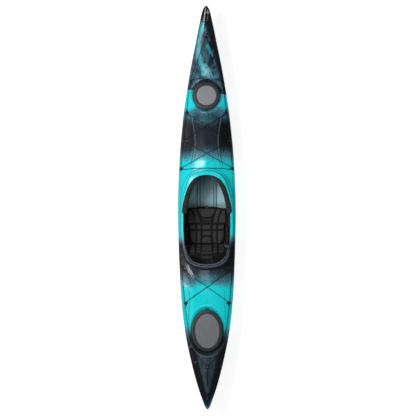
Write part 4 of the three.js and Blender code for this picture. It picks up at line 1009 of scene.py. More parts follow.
for key, values in hull_fields(np.array([v.co for v in me.vertices]) / MM).items():
    layer = me.attributes.new(key, "FLOAT_VECTOR", "POINT")
    layer.data.foreach_set("vector", np.asarray(values, np.float32).ravel())
hull = add_piece("hull_shell", me, mats=(hull_outer, hull_inner), replaces=("hull",))

# ---------------------------------------------------------------- more mesh helpers
def unit(v):
    v = np.asarray(v, float)
    return v / np.linalg.norm(v)


def mesh_of(verts, faces, name, uvs=None, uv_name="cord", smooth_faces=True, sharp=None, mm=True, mats=None):
    me = bpy.data.meshes.new(name)
    V = np.asarray(verts, float) * (MM if mm else 1.0)
    me.from_pydata(V.tolist(), [], [tuple(int(i) for i in f) for f in faces])
    if uvs is not None:
        layer = me.uv_layers.new(name=uv_name)
        layer.uv.foreach_set("vector", np.asarray(uvs, np.float32).ravel())
    if mats is not None:
        me.polygons.foreach_set("material_index", np.asarray(mats, np.int32))
    me.polygons.foreach_set("use_smooth", np.full(len(me.polygons), smooth_faces))
    if sharp is not None:
        me.set_sharp_from_angle(angle=math.radians(sharp))
    me.validate()
    return me


class Bits:
    """Several closed forms gathered in one mesh, in mm, with a map that runs along and round each tube."""

    def __init__(self):
        self.v, self.f, self.uv, self.n = [], [], [], 0

    def add(self, verts, faces, uvs=None):
        verts = np.asarray(verts, float)
        for k, f in enumerate(faces):
            self.f.append([i + self.n for i in f])
            self.uv += [(0.0, 0.0)] * len(f) if uvs is None else list(uvs[k])
        self.v.append(verts)
        self.n += len(verts)

    def tube(self, pts, r, sides=10, caps=True):
        P = np.asarray(pts, float)
        n = len(P)
        r = np.broadcast_to(r, (n,))
        tan = np.gradient(P, axis=0)
        tan /= np.linalg.norm(tan, axis=1)[:, None]
        u = unit(np.cross(tan[0], [0.3, 0.2, 1.0]))
        a = np.linspace(0, 2 * np.pi, sides + 1)[:-1]
        rings, along, s = [], [0.0], 0.0
        for i in range(n):
            u = unit(u - tan[i] * (u @ tan[i]))
            w = np.cross(tan[i], u)
            rings.append(P[i] + r[i] * (np.cos(a)[:, None] * u + np.sin(a)[:, None] * w))
            if i:
                s += np.linalg.norm(P[i] - P[i - 1])
                along.append(s)
        verts = np.concatenate(rings)
        faces, uvs = [], []
        for i in range(n - 1):
            for j in range(sides):
                k = (j + 1) % sides
                faces.append([i * sides + j, i * sides + k, (i + 1) * sides + k, (i + 1) * sides + j])
                uvs.append([(along[i] * MM, j / sides), (along[i] * MM, (j + 1) / sides),
                            (along[i + 1] * MM, (j + 1) / sides), (along[i + 1] * MM, j / sides)])
        if caps:
            for i, d in ((0, -1), (n - 1, 1)):
                tip = len(verts)
                verts = np.vstack([verts, P[i] + tan[i] * d * r[i] * 0.45])
                for j in range(sides):
                    k = (j + 1) % sides
                    f = [i * sides + j, i * sides + k, tip]
                    faces.append(f[::-1] if d < 0 else f)
                    uvs.append([(along[i] * MM, 0.0)] * 3)
        self.add(verts, faces, uvs)

    def lathe(self, prof, frame, sides=28):
        """prof: (radius, height) from axis to axis; frame: (origin, side, other side, axis)."""
        o, ex, ey, ez = [np.asarray(q, float) for q in frame]
        a = np.linspace(0, 2 * np.pi, sides + 1)[:-1]
        verts, faces, rows = [], [], []
        for r, h in prof:
            if r < 1e-6:
                rows.append([len(verts)])
                verts.append(o + ez * h)
            else:
                rows.append(list(range(len(verts), len(verts) + sides)))
                for t in a:
                    verts.append(o + ez * h + ex * r * math.cos(t) + ey * r * math.sin(t))
        for A, B in zip(rows[:-1], rows[1:]):
            for j in range(sides):
                k = (j + 1) % sides
                if len(A) == 1 and len(B) == 1:
                    continue
                if len(A) == 1:
                    faces.append([A[0], B[k], B[j]])
                elif len(B) == 1:
                    faces.append([A[j], A[k], B[0]])
                else:
                    faces.append([A[j], A[k], B[k], B[j]])
        self.add(verts, faces)

    def put_mesh(self, me, frame):
        """A mesh drawn in mm as (side, up, along) placed on a frame."""
        o, v, w, t = [np.asarray(q, float) for q in frame]
        co = np.array([q.co for q in me.vertices])
        verts = o + co[:, :1] * v + co[:, 1:2] * w + co[:, 2:3] * t
        self.add(verts, [list(p.vertices) for p in me.polygons])

    def mesh(self, name, sharp=None):
        me = mesh_of(np.concatenate(self.v), self.f, name, self.uv, sharp=None)
        bm = bmesh.new()
        bm.from_mesh(me)
        bmesh.ops.recalc_face_normals(bm, faces=bm.faces)
        bm.to_mesh(me)
        bm.free()
        me.polygons.foreach_set("use_smooth", np.ones(len(me.polygons), bool))
        if sharp is not None:
            me.set_sharp_from_angle(angle=math.radians(sharp))
        return me


def round_outline(pts, times=2, keep=()):
    """Corner cutting on a closed outline; corners named in keep stay."""
    P = [(np.array(p, float), i in keep) for i, p in enumerate(pts)]
    for _ in range(times):
        out = []
        for i, (p, hard) in enumerate(P):
            a, b = P[i - 1][0], P[(i + 1) % len(P)][0]
            if hard:
                out.append((p, True))
            else:
                out += [(p * 0.75 + a * 0.25, False), (p * 0.75 + b * 0.25, False)]
        P = out
    return [tuple(p) for p, _ in P]


def extruded(outlines, depth, bevel=0.8, resolution=2):
    """A filled outline with holes, extruded along its normal, with rounded edges. In mm."""
    cu = bpy.data.curves.new("tmp", "CURVE")
    cu.dimensions = "2D"
    cu.fill_mode = "BOTH"
    for line in outlines:
        sp = cu.splines.new("POLY")
        sp.points.add(len(line) - 1)
        for q, (x, y) in zip(sp.points, line):
            q.co = (x, y, 0, 1)
        sp.use_cyclic_u = True
    cu.extrude = depth / 2 - bevel
    cu.bevel_depth = bevel
    cu.bevel_resolution = resolution
    cu.offset = -bevel
    ob = bpy.data.objects.new("tmp", cu)
    scene.collection.objects.link(ob)
    dg = bpy.context.evaluated_depsgraph_get()
    me = bpy.data.meshes.new_from_object(ob.evaluated_get(dg))
    bpy.data.objects.remove(ob)
    bm = bmesh.new()
    bm.from_mesh(me)
    bmesh.ops.remove_doubles(bm, verts=bm.verts, dist=1e-3)
    bmesh.ops.recalc_face_normals(bm, faces=bm.faces)
    bm.to_mesh(me)
    bm.free()
    return me


# ---------------------------------------------------------------- small materials
def make_plastic(name, color=(0.0055, 0.0060, 0.0068), rough=(0.34, 0.48), scale=900.0):
    m = Nodes(name)
    P = m.coords()
    n1 = m.noise(P, scale, 2.0, 0.5)
    n2 = m.noise(P, 60.0, 3.0, 0.6)
    c = np.array(color)
    col = m.mix(n2, tuple(c * 0.78), tuple(c * 1.30))
    scratch = m.noise(m.scaled(P, (1500, 60, 400)), 1.0, 2.0, 0.5)
    r = m.math("ADD", m.map(n2, 0.25, 0.8, rough[0], rough[1], "LINEAR"), m.map(scratch, 0.62, 0.8, 0.0, 0.12))
    return m.finish(col, r, m.bump(n1, 0.22, 0.0004), Specular_IOR_Level=0.22)


def make_braid(name, dark, light, picks=300.0, strands=4, rough=0.72, fleck=None):
    """Braided sheath: diagonal strands that cross, from the map along and round the cord."""
    m = Nodes(name)
    uv = m.node("ShaderNodeUVMap")
    uv.uv_map = "cord"
    u, v, _ = m.xyz(uv.outputs[0])
    a = m.math("ADD", m.math("MULTIPLY", u, picks * 2 * math.pi), m.math("MULTIPLY", v, strands * 2 * math.pi))
    b = m.math("SUBTRACT", m.math("MULTIPLY", u, picks * 2 * math.pi), m.math("MULTIPLY", v, strands * 2 * math.pi))
    sa, sb = m.math("SINE", a), m.math("SINE", b)
    h = m.math("MAXIMUM", sa, sb)
    h01 = m.map(h, -0.4, 1.0, 0.0, 1.0, "LINEAR")
    P = m.coords()
    n = m.noise(P, 160.0, 3.0, 0.6)
    col = m.mix(h01, dark, light)
    col = m.mix(m.map(n, 0.35, 0.8, 0.0, 0.45), col, tuple(np.array(dark) * 0.6))
    if fleck is not None:
        w = m.map(m.math("SINE", m.math("MULTIPLY", a, 0.25)), 0.93, 0.98)
        col = m.mix(w, col, fleck)
    return m.finish(col, m.map(n, 0.2, 0.8, rough - 0.06, rough + 0.10, "LINEAR"),
                    m.bump(h01, 0.5, 0.0005, m.bump(n, 0.2, 0.0004)), Specular_IOR_Level=0.10)


def make_steel(name):
    m = Nodes(name)
    P = m.coords()
    n = m.noise(P, 500.0, 3.0, 0.6)
    return m.finish(m.mix(n, (0.11, 0.115, 0.12), (0.19, 0.195, 0.20)), m.map(n, 0.2, 0.8, 0.26, 0.46, "LINEAR"),
                    m.bump(n, 0.12, 0.0002), Metallic=1.0)


black_plastic = make_plastic("black_plastic")
line_cord = make_braid("deck_line", (0.0020, 0.0024, 0.0030), (0.0080, 0.0086, 0.0098), picks=330.0, strands=5)
bungee_cord = make_braid("bungee", (0.0019, 0.0023, 0.0029), (0.0072, 0.0078, 0.0090), picks=260.0, strands=6)
rope_cord = make_braid("handle_rope", (0.16, 0.165, 0.17), (0.52, 0.53, 0.54), picks=190.0, strands=5, rough=0.8)
rope_dark = make_braid("handle_rope_stern", (0.0075, 0.008, 0.009), (0.024, 0.025, 0.027), picks=190.0, strands=5, rough=0.8)
steel = make_steel("screw_steel")

# ---------------------------------------------------------------- pad eyes and their screws
GAP = 0.4
EYE_H, EYE_OFF = 8.8, 4.7


class Frame:
    def __init__(self, x, y, d):
        self.n = deck_normal(x, y)
        t = np.array([d[0], d[1], 0.0])
        self.t = unit(t - self.n * (t @ self.n))
        self.v = np.cross(self.n, self.t)
        self.p = np.array([x, y, float(deck_z(x, y))]) + GAP * self.n

    def at(self, off, s, up=EYE_H):
        return self.p + self.n * up + self.v * off + self.t * s

    def axes(self, up=0.0):
        return self.p + self.n * up, self.v, self.n, self.t


screws = Bits()


def screw_head(frame, off, s, up, r=3.4, turn=0.4):
    """A pan head with a cross recess."""
    o = frame.p + frame.v * off + frame.t * s + frame.n * up
    ca, sa = math.cos(turn), math.sin(turn)
    ex = frame.v * ca + frame.t * sa
    ey = -frame.v * sa + frame.t * ca
    rr = np.array([0.0, 0.25, 0.42, 0.58, 0.74, 0.9, 1.0, 1.0]) * r
    sides = 24
    verts, faces, rows = [], [], []
    for i, q in enumerate(rr):
        if i == 0:
            rows.append([0])
            verts.append(o + frame.n * (1.7 - 0.9))
            continue
        row = []
        for k in range(sides):
            t = 2 * math.pi * k / sides
            x, y = q * math.cos(t), q * math.sin(t)
            z = 1.7 * math.sqrt(max(0.0, 1 - 0.72 * (q / r) ** 2)) if i < 7 else 0.0
            if q < 0.66 * r and min(abs(x), abs(y)) < 0.16 * r:
                z -= 0.9
            row.append(len(verts))
            verts.append(o + ex * x + ey * y + frame.n * z)
        rows.append(row)
    for A, B in zip(rows[:-1], rows[1:]):
        for j in range(sides):
            k = (j + 1) % sides
            faces.append([A[0], B[j], B[k]] if len(A) == 1 else [A[j], B[j], B[k], A[k]])
    c = len(verts)
    verts.append(o - frame.n * 0.3)
    faces += [[rows[-1][(j + 1) % sides], rows[-1][j], c] for j in range(sides)]
    screws.add(verts, faces)


eye_shape = extruded([round_outline([(-23, 0), (23, 0), (23, 2.8), (15, 4.4), (14.2, 12.0), (11.2, 15.5), (-11.2, 15.5),
                                     (-14.2, 12.0), (-15, 4.4), (-23, 2.8)], 2, keep=(0, 1)),
                      round_outline([(-9.8, 4.2), (9.8, 4.2), (10.8, 5.8), (10.8, 11.0), (9, 12.9), (-9, 12.9),
                                     (-10.8, 11.0), (-10.8, 5.8)], 2)], 12.0, 0.9, 2)
centre_shape = extruded([round_outline([(-20, 0), (20, 0), (20, 3), (15, 5), (13, 14), (10, 16.5), (-10, 16.5), (-13, 14),
                                        (-15, 5), (-20, 3)], 2, keep=(0, 1)),
                         round_outline([(-9, 5), (9, 5), (9.5, 12), (8, 13.6), (-8, 13.6), (-9.5, 12)], 2)], 14.0, 1.0, 2)
eyes = {}
names = list(EYES)
for side, label in ((1, "starboard"), (-1, "port")):
    for i, k in enumerate(names):
        x, y = EYES[k]
        same = [q for q in (i - 1, i + 1) if 0 <= q < len(names) and (EYES[names[q]][1] > 0) == (y > 0)]
        a = EYES[names[i - 1]] if i - 1 in same else (x, y)
        b = EYES[names[i + 1]] if i + 1 in same else (x, y)
        f = Frame(side * x, y, (side * (b[0] - a[0]), b[1] - a[1]))
        f.out = 1 if f.v[0] * side > 0 else -1
        eyes[f"{label}_{k}"] = f
        bits = Bits()
        bits.put_mesh(eye_shape, f.axes(-0.25))
        bits.lathe([(0, -0.3), (14.4, -0.3), (15.2, 0.3), (15.0, 1.4), (13.8, 2.2), (0, 2.5)],
                   (f.p, f.v * 1.68, f.t, f.n), 40)
        for q in (-1, 1):
            # raised ring round each screw
            bits.lathe([(0, 3.0), (4.6, 3.0), (5.0, 3.4), (4.9, 4.0), (4.2, 4.3), (0, 4.3)],
                       (f.p + f.v * q * 18.6, f.v, f.t, f.n), 20)
            screw_head(f, q * 18.6, 0, 4.1, r=2.8, turn=0.3 + 1.7 * i + q)
        add_piece(f"{label}_pad_eye_{k}", bits.mesh("pad_eye", 40), mats=(black_plastic,),
                  replaces=(f"{label}_eye_{k}",))
centre_eyes = {}
for label, y in (("bow", 1815), ("stern", -1688)):
    f = Frame(0, y, (0, 1))
    centre_eyes[label] = f
    bits = Bits()
    bits.put_mesh(centre_shape, f.axes(-0.25))
    bits.lathe([(0, -0.3), (17.6, -0.3), (18.4, 0.3), (18.2, 1.6), (16.8, 2.6), (0, 2.9)], (f.p, f.v * 1.2, f.t, f.n), 40)
    add_piece(f"{label}_centre_fitting", bits.mesh("centre_eye", 40), mats=(black_plastic,),
              replaces=(f"{label}_centre_eye",))
    for q in (-1, 1):
        screw_head(f, q * 17.2, 0, 3.4, r=3.0, turn=0.9 + q)
    # one large screw through the middle of the loop's crown
    screw_head(f, 0, 0, 16.3, r=5.2, turn=0.5)

# ---------------------------------------------------------------- deck lines and bungees
LINE_UP, BUNGEE_UP = 2.5 + 0.4, 3.0 + 0.4


def lie_on_deck(a, b, up, step=14.0, taut=True, bumps=(), sway=0.0):
    """Points between two places: pulled tight over the deck, or laid along it."""
    n = max(4, int(np.linalg.norm(b[:2] - a[:2]) / step))
    s = np.linspace(0, 1, n + 1)
    xy = a[None, :2] * (1 - s[:, None]) + b[None, :2] * s[:, None]
    xy[:, 1] += sway * 4 * s * (1 - s)       # a slack cord rests a little to one side
    z = surface(xy[:, 0], xy[:, 1])
    nz = np.array([deck_normal(*q)[2] for q in xy])
    z = z + up / nz
    for at, h in bumps:
        i = int(round(at * n))
        z[i] += h
    z[0], z[-1] = a[2], b[2]
    if taut:                                  # upper hull of the heights
        L = np.linalg.norm(b[:2] - a[:2]) * s
        hull_idx = [0]
        for i in range(1, n + 1):
            while len(hull_idx) > 1:
                p, q = hull_idx[-2], hull_idx[-1]
                if (z[q] - z[p]) * (L[i] - L[p]) <= (z[i] - z[p]) * (L[q] - L[p]):
                    hull_idx.pop()
                else:
                    break
            hull_idx.append(i)
        z2 = np.interp(L, L[hull_idx], z[hull_idx])
        z = z2
    out = np.c_[xy, z]
    return [q for q in out[1:-1]]


def through(f, off, first):
    s = 1 if (first - f.p) @ f.t > 0 else -1
    return [f.at(off, 9 * s), f.at(off, 0), f.at(off, -9 * s)]


def cord_line(points, per_mm=7.0):
    P = np.array(points)
    seg = np.linalg.norm(np.diff(P, axis=0), axis=1)
    return catmull(P, False, [max(1, int(round(q / per_mm))) for q in seg])


def stopper(bits, end, direction, r, normal):
    """An overhand knot pulled tight, with a short tail, against a fitting."""
    d, nrm = unit(direction), unit(normal)
    sd = np.cross(nrm, d)
    t = np.linspace(0, 2 * np.pi, 40)
    x = np.sin(t) + 2 * np.sin(2 * t)
    y = np.cos(t) - 2 * np.cos(2 * t)
    z = -np.sin(3 * t)
    k = r * 0.86
    c = end + d * r * 2.6
    pts = c + np.outer(z * k * 1.1, d) + np.outer(x * k * 0.62, sd) + np.outer(y * k * 0.62, nrm)
    bits.tube(pts[:-1], r * 0.98, 9)
    tail = np.array([c + d * r * 1.2, c + d * r * 3.4 + sd * r * 0.5, c + d * r * 5.6 + sd * r * 1.2 - nrm * r * 0.4])
    bits.tube(catmull(tail, False, 5), r * 0.96, 9)


lengths = {}


def make_cord(name, pts, d, mat, node, body="kayak", ends=(True, True), normals=None):
    line = cord_line(pts)
    bits = Bits()
    bits.tube(line, d / 2, 12)
    up = np.array([0, 0, 1.0])
    if ends[0]:
        stopper(bits, line[0], line[0] - line[1], d / 2, up)
    if ends[1]:
        stopper(bits, line[-1], line[-1] - line[-2], d / 2, up)
    lengths[name] = float(np.linalg.norm(np.diff(line, axis=0), axis=1).sum()) * MM
    return add_piece(name, bits.mesh(name, 60), body=body, mats=(mat,), replaces=(node,))


for side, label in ((1, "starboard"), (-1, "port")):
    c = centre_eyes["bow"]
    pts = [c.at(0, 0) + np.array([side * 3.6, 8, -0.2]), c.at(0, 0) + np.array([side * 3.6, -9, -0.2])]
    last = pts[1]
    for k in ("bow_hatch", "fore", "mid", "cockpit"):
        f = eyes[f"{label}_{k}"]
        th = through(f, EYE_OFF * f.out, last)
        pts += [*lie_on_deck(last, th[0], LINE_UP, taut=False, step=45.0), *th]
        last = th[2]
    make_cord(f"{label}_bow_deck_line", pts, 5.0, line_cord, f"{label}_bow_line", ends=(False, True))
    pts, last = [], None
    for k in ("aft_cockpit", "aft", "stern_hatch"):
        f = eyes[f"{label}_{k}"]
        th = through(f, EYE_OFF * f.out, last if last is not None else f.p + np.array([0, 50.0, 0]))
        if last is not None:
            pts += lie_on_deck(last, th[0], LINE_UP, taut=False, step=45.0)
        pts += th
        last = th[2]
    c = centre_eyes["stern"]
    end = [c.at(0, 0) + np.array([side * 3.6, 9, -0.2]), c.at(0, 0) + np.array([side * 3.6, -8, -0.2])]
    pts += [*lie_on_deck(last, end[0], LINE_UP, taut=False, step=45.0), *end]
    make_cord(f"{label}_stern_deck_line", pts, 5.0, line_cord, f"{label}_stern_line", ends=(True, False))

stops = ["port_fore", "starboard_mid", "port_cockpit", "starboard_cockpit", "port_mid", "starboard_fore"]
pts, last = [], None
for i, k in enumerate(stops):
    f = eyes[k]
    s = (1 if i < 3 else -1) * (1 if f.t[1] > 0 else -1)
    off = -EYE_OFF * f.out
    th = [f.at(off, 9 * s), f.at(off, 0), f.at(off, -9 * s)]
    if last is not None:
        pts += lie_on_deck(last, th[0], BUNGEE_UP, bumps=((0.5, 6.4),) if i > 3 else (), sway=11.0 if i == 3 else 0.0)
    pts += th
    last = th[2]
make_cord("front_deck_bungee_cord", pts, 6.0, bungee_cord, "front_deck_bungee")


def short_bungee(name, node, a, b, order_a, order_b, bumps=()):
    a, b = eyes[a], eyes[b]
    ta, tb = (1 if a.t[1] > 0 else -1), (1 if b.t[1] > 0 else -1)
    p = [a.at(-EYE_OFF * a.out, s * ta) for s in order_a]
    q = [b.at(-EYE_OFF * b.out, s * tb) for s in order_b]
    make_cord(name, [*p, *lie_on_deck(p[2], q[0], BUNGEE_UP, bumps=bumps), *q], 6.0, bungee_cord, node)


short_bungee("bow_hatch_bungee_cord", "bow_hatch_bungee", "port_bow_hatch", "starboard_bow_hatch", (-9, 0, 9), (9, 0, -9))
short_bungee("rear_bungee_lower_cord", "rear_bungee_under", "port_aft_cockpit", "starboard_aft", (9, 0, -9), (9, 0, -9))
short_bungee("rear_bungee_upper_cord", "rear_bungee_over", "starboard_aft_cockpit", "port_aft", (9, 0, -9), (9, 0, -9),
             bumps=((0.5, 6.4),))

# ---------------------------------------------------------------- carry handles
for label, s, yp, tx, ty, ang in (("bow", 1, 2086, 17, 2004, 0.1), ("stern", -1, -2086, 0, -1992, 0.0)):
    f = Frame(0, yp, (0, 1))
    rib = extruded([round_outline([(-13, 0), (13, 0), (13, 3), (8, 14), (4, 18), (-4, 18), (-8, 14), (-13, 3)], 2, keep=(0, 1)),
                    round_outline([(-3.9, 6.6), (3.9, 6.6), (3.9, 14.4), (-3.9, 14.4)], 2)], 8.0, 1.0, 2)
    bits = Bits()
    bits.put_mesh(rib, (f.p - 0.25 * f.n, f.t, f.n, -f.v))
    add_piece(f"{label}_handle_anchor", bits.mesh("rib", 40), mats=(black_plastic,),
              replaces=(f"{label}_handle_rib",))
    eye = f.p + 10.5 * f.n

    def dz(x, y, up):
        b = float(breadth(y)) - 2
        return float(deck_z(max(-b, min(b, x)), y)) + up
    tz = dz(tx, ty, 0) + 14
    half = 40.0
    prof = [(0, -half), (3.0, -half), (5.6, -half + 0.3), (8.2, -half + 0.9), (9.8, -half + 2.0), (10.5, -half + 3.8)]
    for k in range(0, 25):                    # waisted grip with shallow finger rings
        h = -half + 6 + k * (2 * half - 12) / 24
        q = abs(h) / (half - 6)
        r = 8.3 + 2.2 * q ** 2.2 + (0.42 * math.cos(h * 2 * math.pi / 8.5) if abs(h) < 25 else 0.0)
        prof.append((r, h))
    prof += [(10.5, half - 3.8), (9.8, half - 2.0), (8.2, half - 0.9), (5.6, half - 0.3), (3.0, half), (0, half)]
    axis = np.array([math.sin(ang) * s, math.cos(ang), 0.0])
    ex = unit(np.cross(axis, [0, 0, 1.0]))
    bits = Bits()
    bits.lathe(prof, ((tx, ty, tz), ex, np.array([0, 0, 1.0]), axis), 32)
    body = f"{label}_handle"
    add_piece(f"{label}_grip_toggle", bits.mesh("toggle", 50), body=body, mats=(black_plastic,),
              replaces=(f"{label}_toggle",))
    end_y = ty + s * half + s * 1.6
    tipx = tx + math.sin(ang) * half
    pts = [(tipx - 4.2, end_y - s * 5, tz), (tipx - 4.4, end_y, tz), (tipx - 7, end_y + s * 10, tz),
           (-11, yp - s * 14, dz(11, yp - s * 14, 9)), (-11, yp - s * 4, eye[2] - 0.5), (-7, yp, eye[2]),
           (7, yp, eye[2]), (11, yp - s * 4, eye[2] - 0.5), (12, yp - s * 14, dz(12, yp - s * 14, 9)),
           (tipx + 7, end_y + s * 10, tz), (tipx + 4.4, end_y, tz), (tipx + 4.2, end_y - s * 5, tz)]
    P = np.array(pts, float)
    seg = np.linalg.norm(np.diff(P, axis=0), axis=1)
    line = catmull(P, False, [max(2, int(round(q / 2.5))) for q in seg])
    bits = Bits()
    bits.tube(line, 3.0, 14)
    lengths[f"{label}_handle_cord"] = float(np.linalg.norm(np.diff(line, axis=0), axis=1).sum()) * MM
    add_piece(f"{label}_handle_cord", bits.mesh("rope", 60), body=body, mats=(rope_cord if label == "bow" else rope_dark,),
              replaces=(f"{label}_handle_rope",))

# ---------------------------------------------------------------- drain plug, blanking plug, hull screws
f = Frame(-122, -1640, (0, 1))
bits = Bits()
bits.lathe([(0, -0.4), (15, -0.4), (17, 0.1), (17.4, 1.0), (16.6, 2.0), (14.4, 3.0), (0, 3.2)], (f.p, f.v, f.t, f.n), 36)
sides = 36
verts, faces, rows = [], [], []
for i, (r, h) in enumerate([(13.6, 2.6), (13.4, 4.2), (13.3, 8.6), (12.7, 10.2), (11.2, 11.0), (5.0, 11.0), (4.2, 10.3)]):
    row = []
    for k in range(sides):                    # a grip edge with twelve lobes
        t = 2 * math.pi * k / sides
        q = r - (0.75 * (k % 3 == 0) if 0 < i < 4 else 0.0)
        row.append(len(verts))
        verts.append(f.p + f.v * q * math.cos(t) + f.t * q * math.sin(t) + f.n * h)
    rows.append(row)
for A, B in zip(rows[:-1], rows[1:]):
    faces += [[A[j], A[(j + 1) % sides], B[(j + 1) % sides], B[j]] for j in range(sides)]
c = len(verts)
verts.append(f.p + f.n * 10.2)
faces += [[rows[-1][j], rows[-1][(j + 1) % sides], c] for j in range(sides)]
c = len(verts)
verts.append(f.p + f.n * 2.6)
faces += [[rows[0][(j + 1) % sides], rows[0][j], c] for j in range(sides)]
bits.add(verts, faces)
add_piece("drain_plug_cap", bits.mesh("plug", 35), body="drain_plug", mats=(black_plastic,),
          replaces=("drain_plug",))
f = Frame(32, -1839, (0, 1))
bits = Bits()
bits.lathe([(0, -0.6), (7.6, -0.6), (8.0, 0.2), (7.4, 1.4), (5.6, 2.2), (3.0, 2.0), (0, 1.7)], (f.p, f.v, f.t, f.n), 28)
add_piece("rudder_line_plug", bits.mesh("blank", 50), mats=(black_plastic,))
for x, y in ((-283, 289), (283, 289), (-283, 12), (283, 12), (-276, -180), (276, -180)):
    f = Frame(x, y, (0, 1))
    screw_head(f, 0, 0, -0.3, r=4.2, turn=x * 0.01 + y)

# ---------------------------------------------------------------- paddle keeper
f = Frame(-283, -402, (0, 1))
bits = Bits()
bits.lathe([(0, -0.3), (9.6, -0.3), (10, 0.2), (10, 2.4), (9.2, 3.4), (6.6, 4.4), (6.0, 5.4), (6.0, 7.6), (6.8, 9.0),
            (9.2, 10.6), (10, 12.0), (9.7, 14.0), (8.2, 15.9), (5.4, 16.8), (0, 17.0)], (f.p, f.v, f.t, f.n), 32)
add_piece("paddle_keeper_stud", bits.mesh("stud", 40), mats=(black_plastic,),
          replaces=("paddle_keeper_knob",))
e = Frame(-279, -580, (0.1, 1))
small = extruded([round_outline([(-14, 0), (14, 0), (14, 2.8), (9, 4.4), (8, 11.6), (5, 14), (-5, 14), (-8, 11.6), (-9, 4.4),
                                 (-14, 2.8)], 2, keep=(0, 1)),
                  round_outline([(-4.9, 4.0), (4.9, 4.0), (4.9, 11.6), (-4.9, 11.6)], 2)], 10.0, 0.8, 2)
bits = Bits()
bits.put_mesh(small, e.axes(-0.25))
add_piece("paddle_keeper_pad_eye", bits.mesh("small_eye", 40), mats=(black_plastic,),
          replaces=("paddle_keeper_eye",))
for q in (-1, 1):
    screw_head(e, q * 11.4, 0, 3.0, r=2.3, turn=q)
start = e.p + 7.8 * e.n


def over(x, y, up):
    return np.array([x, y, float(surface(x, y))]) + up * deck_normal(x, y)


pts = [start - 11 * e.t, start, start + 9 * e.t, over(-284, -545, 4.2), over(-286, -500, 4.0), over(-288, -450, 4.2),
       over(-290, -422, 5.0), over(-292.5, -408, 6.2), over(-291, -396, 6.6), over(-284, -390.5, 6.6),
       over(-276.5, -394, 6.6), over(-274.5, -403, 6.4), over(-277, -414, 5.6)]
make_cord("paddle_keeper_loop", pts, 5.0, bungee_cord, "paddle_keeper_bungee", ends=(True, True))
h = Frame(-262, -508, (-0.35, 1))
hook = extruded([round_outline([(-5, -15), (5, -15), (6.4, -8), (6.4, 7), (3.4, 15), (-3.4, 15), (-6.4, 7), (-6.4, -8)], 2)],
                5.0, 1.2, 2)
bits = Bits()
bits.put_mesh(hook, (h.p + 2.4 * h.n, h.v, -h.t, h.n))
bits.lathe([(0, 4.2), (3.2, 4.2), (3.4, 4.8), (3.0, 5.6), (0, 5.9)], (h.p - 6 * h.t, h.v, h.t, h.n), 20)
add_piece("paddle_keeper_clip", bits.mesh("hook", 40), mats=(black_plastic,),
          replaces=("paddle_keeper_hook",))
add_piece("deck_screws", screws.mesh("screws", 40), mats=(steel,))

# ---------------------------------------------------------------- hatch covers
def make_rubber(name, color, edge):
    m = Nodes(name)
    P = m.coords()
    n1 = m.noise(P, 700.0, 2.0, 0.6)
    n2 = m.noise(P, 38.0, 4.0, 0.65)
    dust = m.noise(P, 9.0, 3.0, 0.5)
    col = m.mix(n2, tuple(np.array(color) * 0.78), tuple(np.array(color) * 1.25))
    col = m.mix(m.map(dust, 0.55, 0.75, 0.0, 0.35), col, tuple(np.array(color) * 1.7))
    # painted shade: the rim's walls, groove and outer roll are darkened by the 'edge' weight
    at = m.node("ShaderNodeAttribute", attribute_name="edge")
    col = m.mix(at.outputs["Fac"], col, edge)
    return m.finish(col, m.map(n2, 0.2, 0.8, 0.48, 0.62, "LINEAR"), m.bump(n1, 0.3, 0.0004), Specular_IOR_Level=0.3)


def make_pebble(name, color):
    """Grey moulded panel with a leathery grain."""
    m = Nodes(name)
    P = m.coords()
    cell = m.voronoi(m.scaled(P, (1, 1, 0.2)), 330.0, "SMOOTH_F1")
    n2 = m.noise(P, 26.0, 4.0, 0.62)
    streak = m.noise(m.scaled(P, (90, 12, 1)), 1.0, 3.0, 0.6)
    c = np.array(color)
    col = m.mix(n2, tuple(c * 0.84), tuple(c * 1.15))
    col = m.mix(m.map(streak, 0.45, 0.8, 0.0, 0.5), col, tuple(c * 1.28))
    col = m.mix(m.map(cell, 0.0, 0.4, 0.0, 0.25), col, tuple(c * 0.7))
    return m.finish(col, m.map(n2, 0.2, 0.8, 0.50, 0.62, "LINEAR"), m.bump(cell, 0.35, 0.0007), Specular_IOR_Level=0.3)


def set_attr(me, name, values):
    a = me.attributes.new(name, "FLOAT", "POINT")
    a.data.foreach_set("value", np.asarray(values, np.float32))


hatch_rubber = make_rubber("hatch_rubber", (0.0135, 0.0160, 0.0195), (0.0018, 0.0020, 0.0026))
panel_mats = {"bow": make_pebble("hatch_panel_bow", (0.205, 0.210, 0.222)),
              "stern": make_pebble("hatch_panel_stern", (0.138, 0.142, 0.153))}
RIM = [(19, 0.5), (10, 0.5), (3.4, 0.6), (1.4, 1.1), (0.35, 2.4), (0, 4.2), (0, 8.4), (0.8, 9.2), (0.8, 10.6), (0, 11.4),
       (0.05, 14.4), (0.7, 17.2), (2.4, 19.6), (5.0, 21.1), (8.5, 21.9), (13, 22.3), (17.4, 22.7), (18.8, 22.5), (19.8, 21.6),
       (21.0, 21.6), (22.0, 22.5), (23.6, 22.9), (29, 23.1), (33.0, 22.9), (35.0, 22.4), (36.1, 21.3), (36.5, 19.8),
       (36.5, 16.2), (37.2, 16), (46, 16), (46, 12), (34, 12), (21.4, 12), (19.6, 11.7), (19, 10.8)]
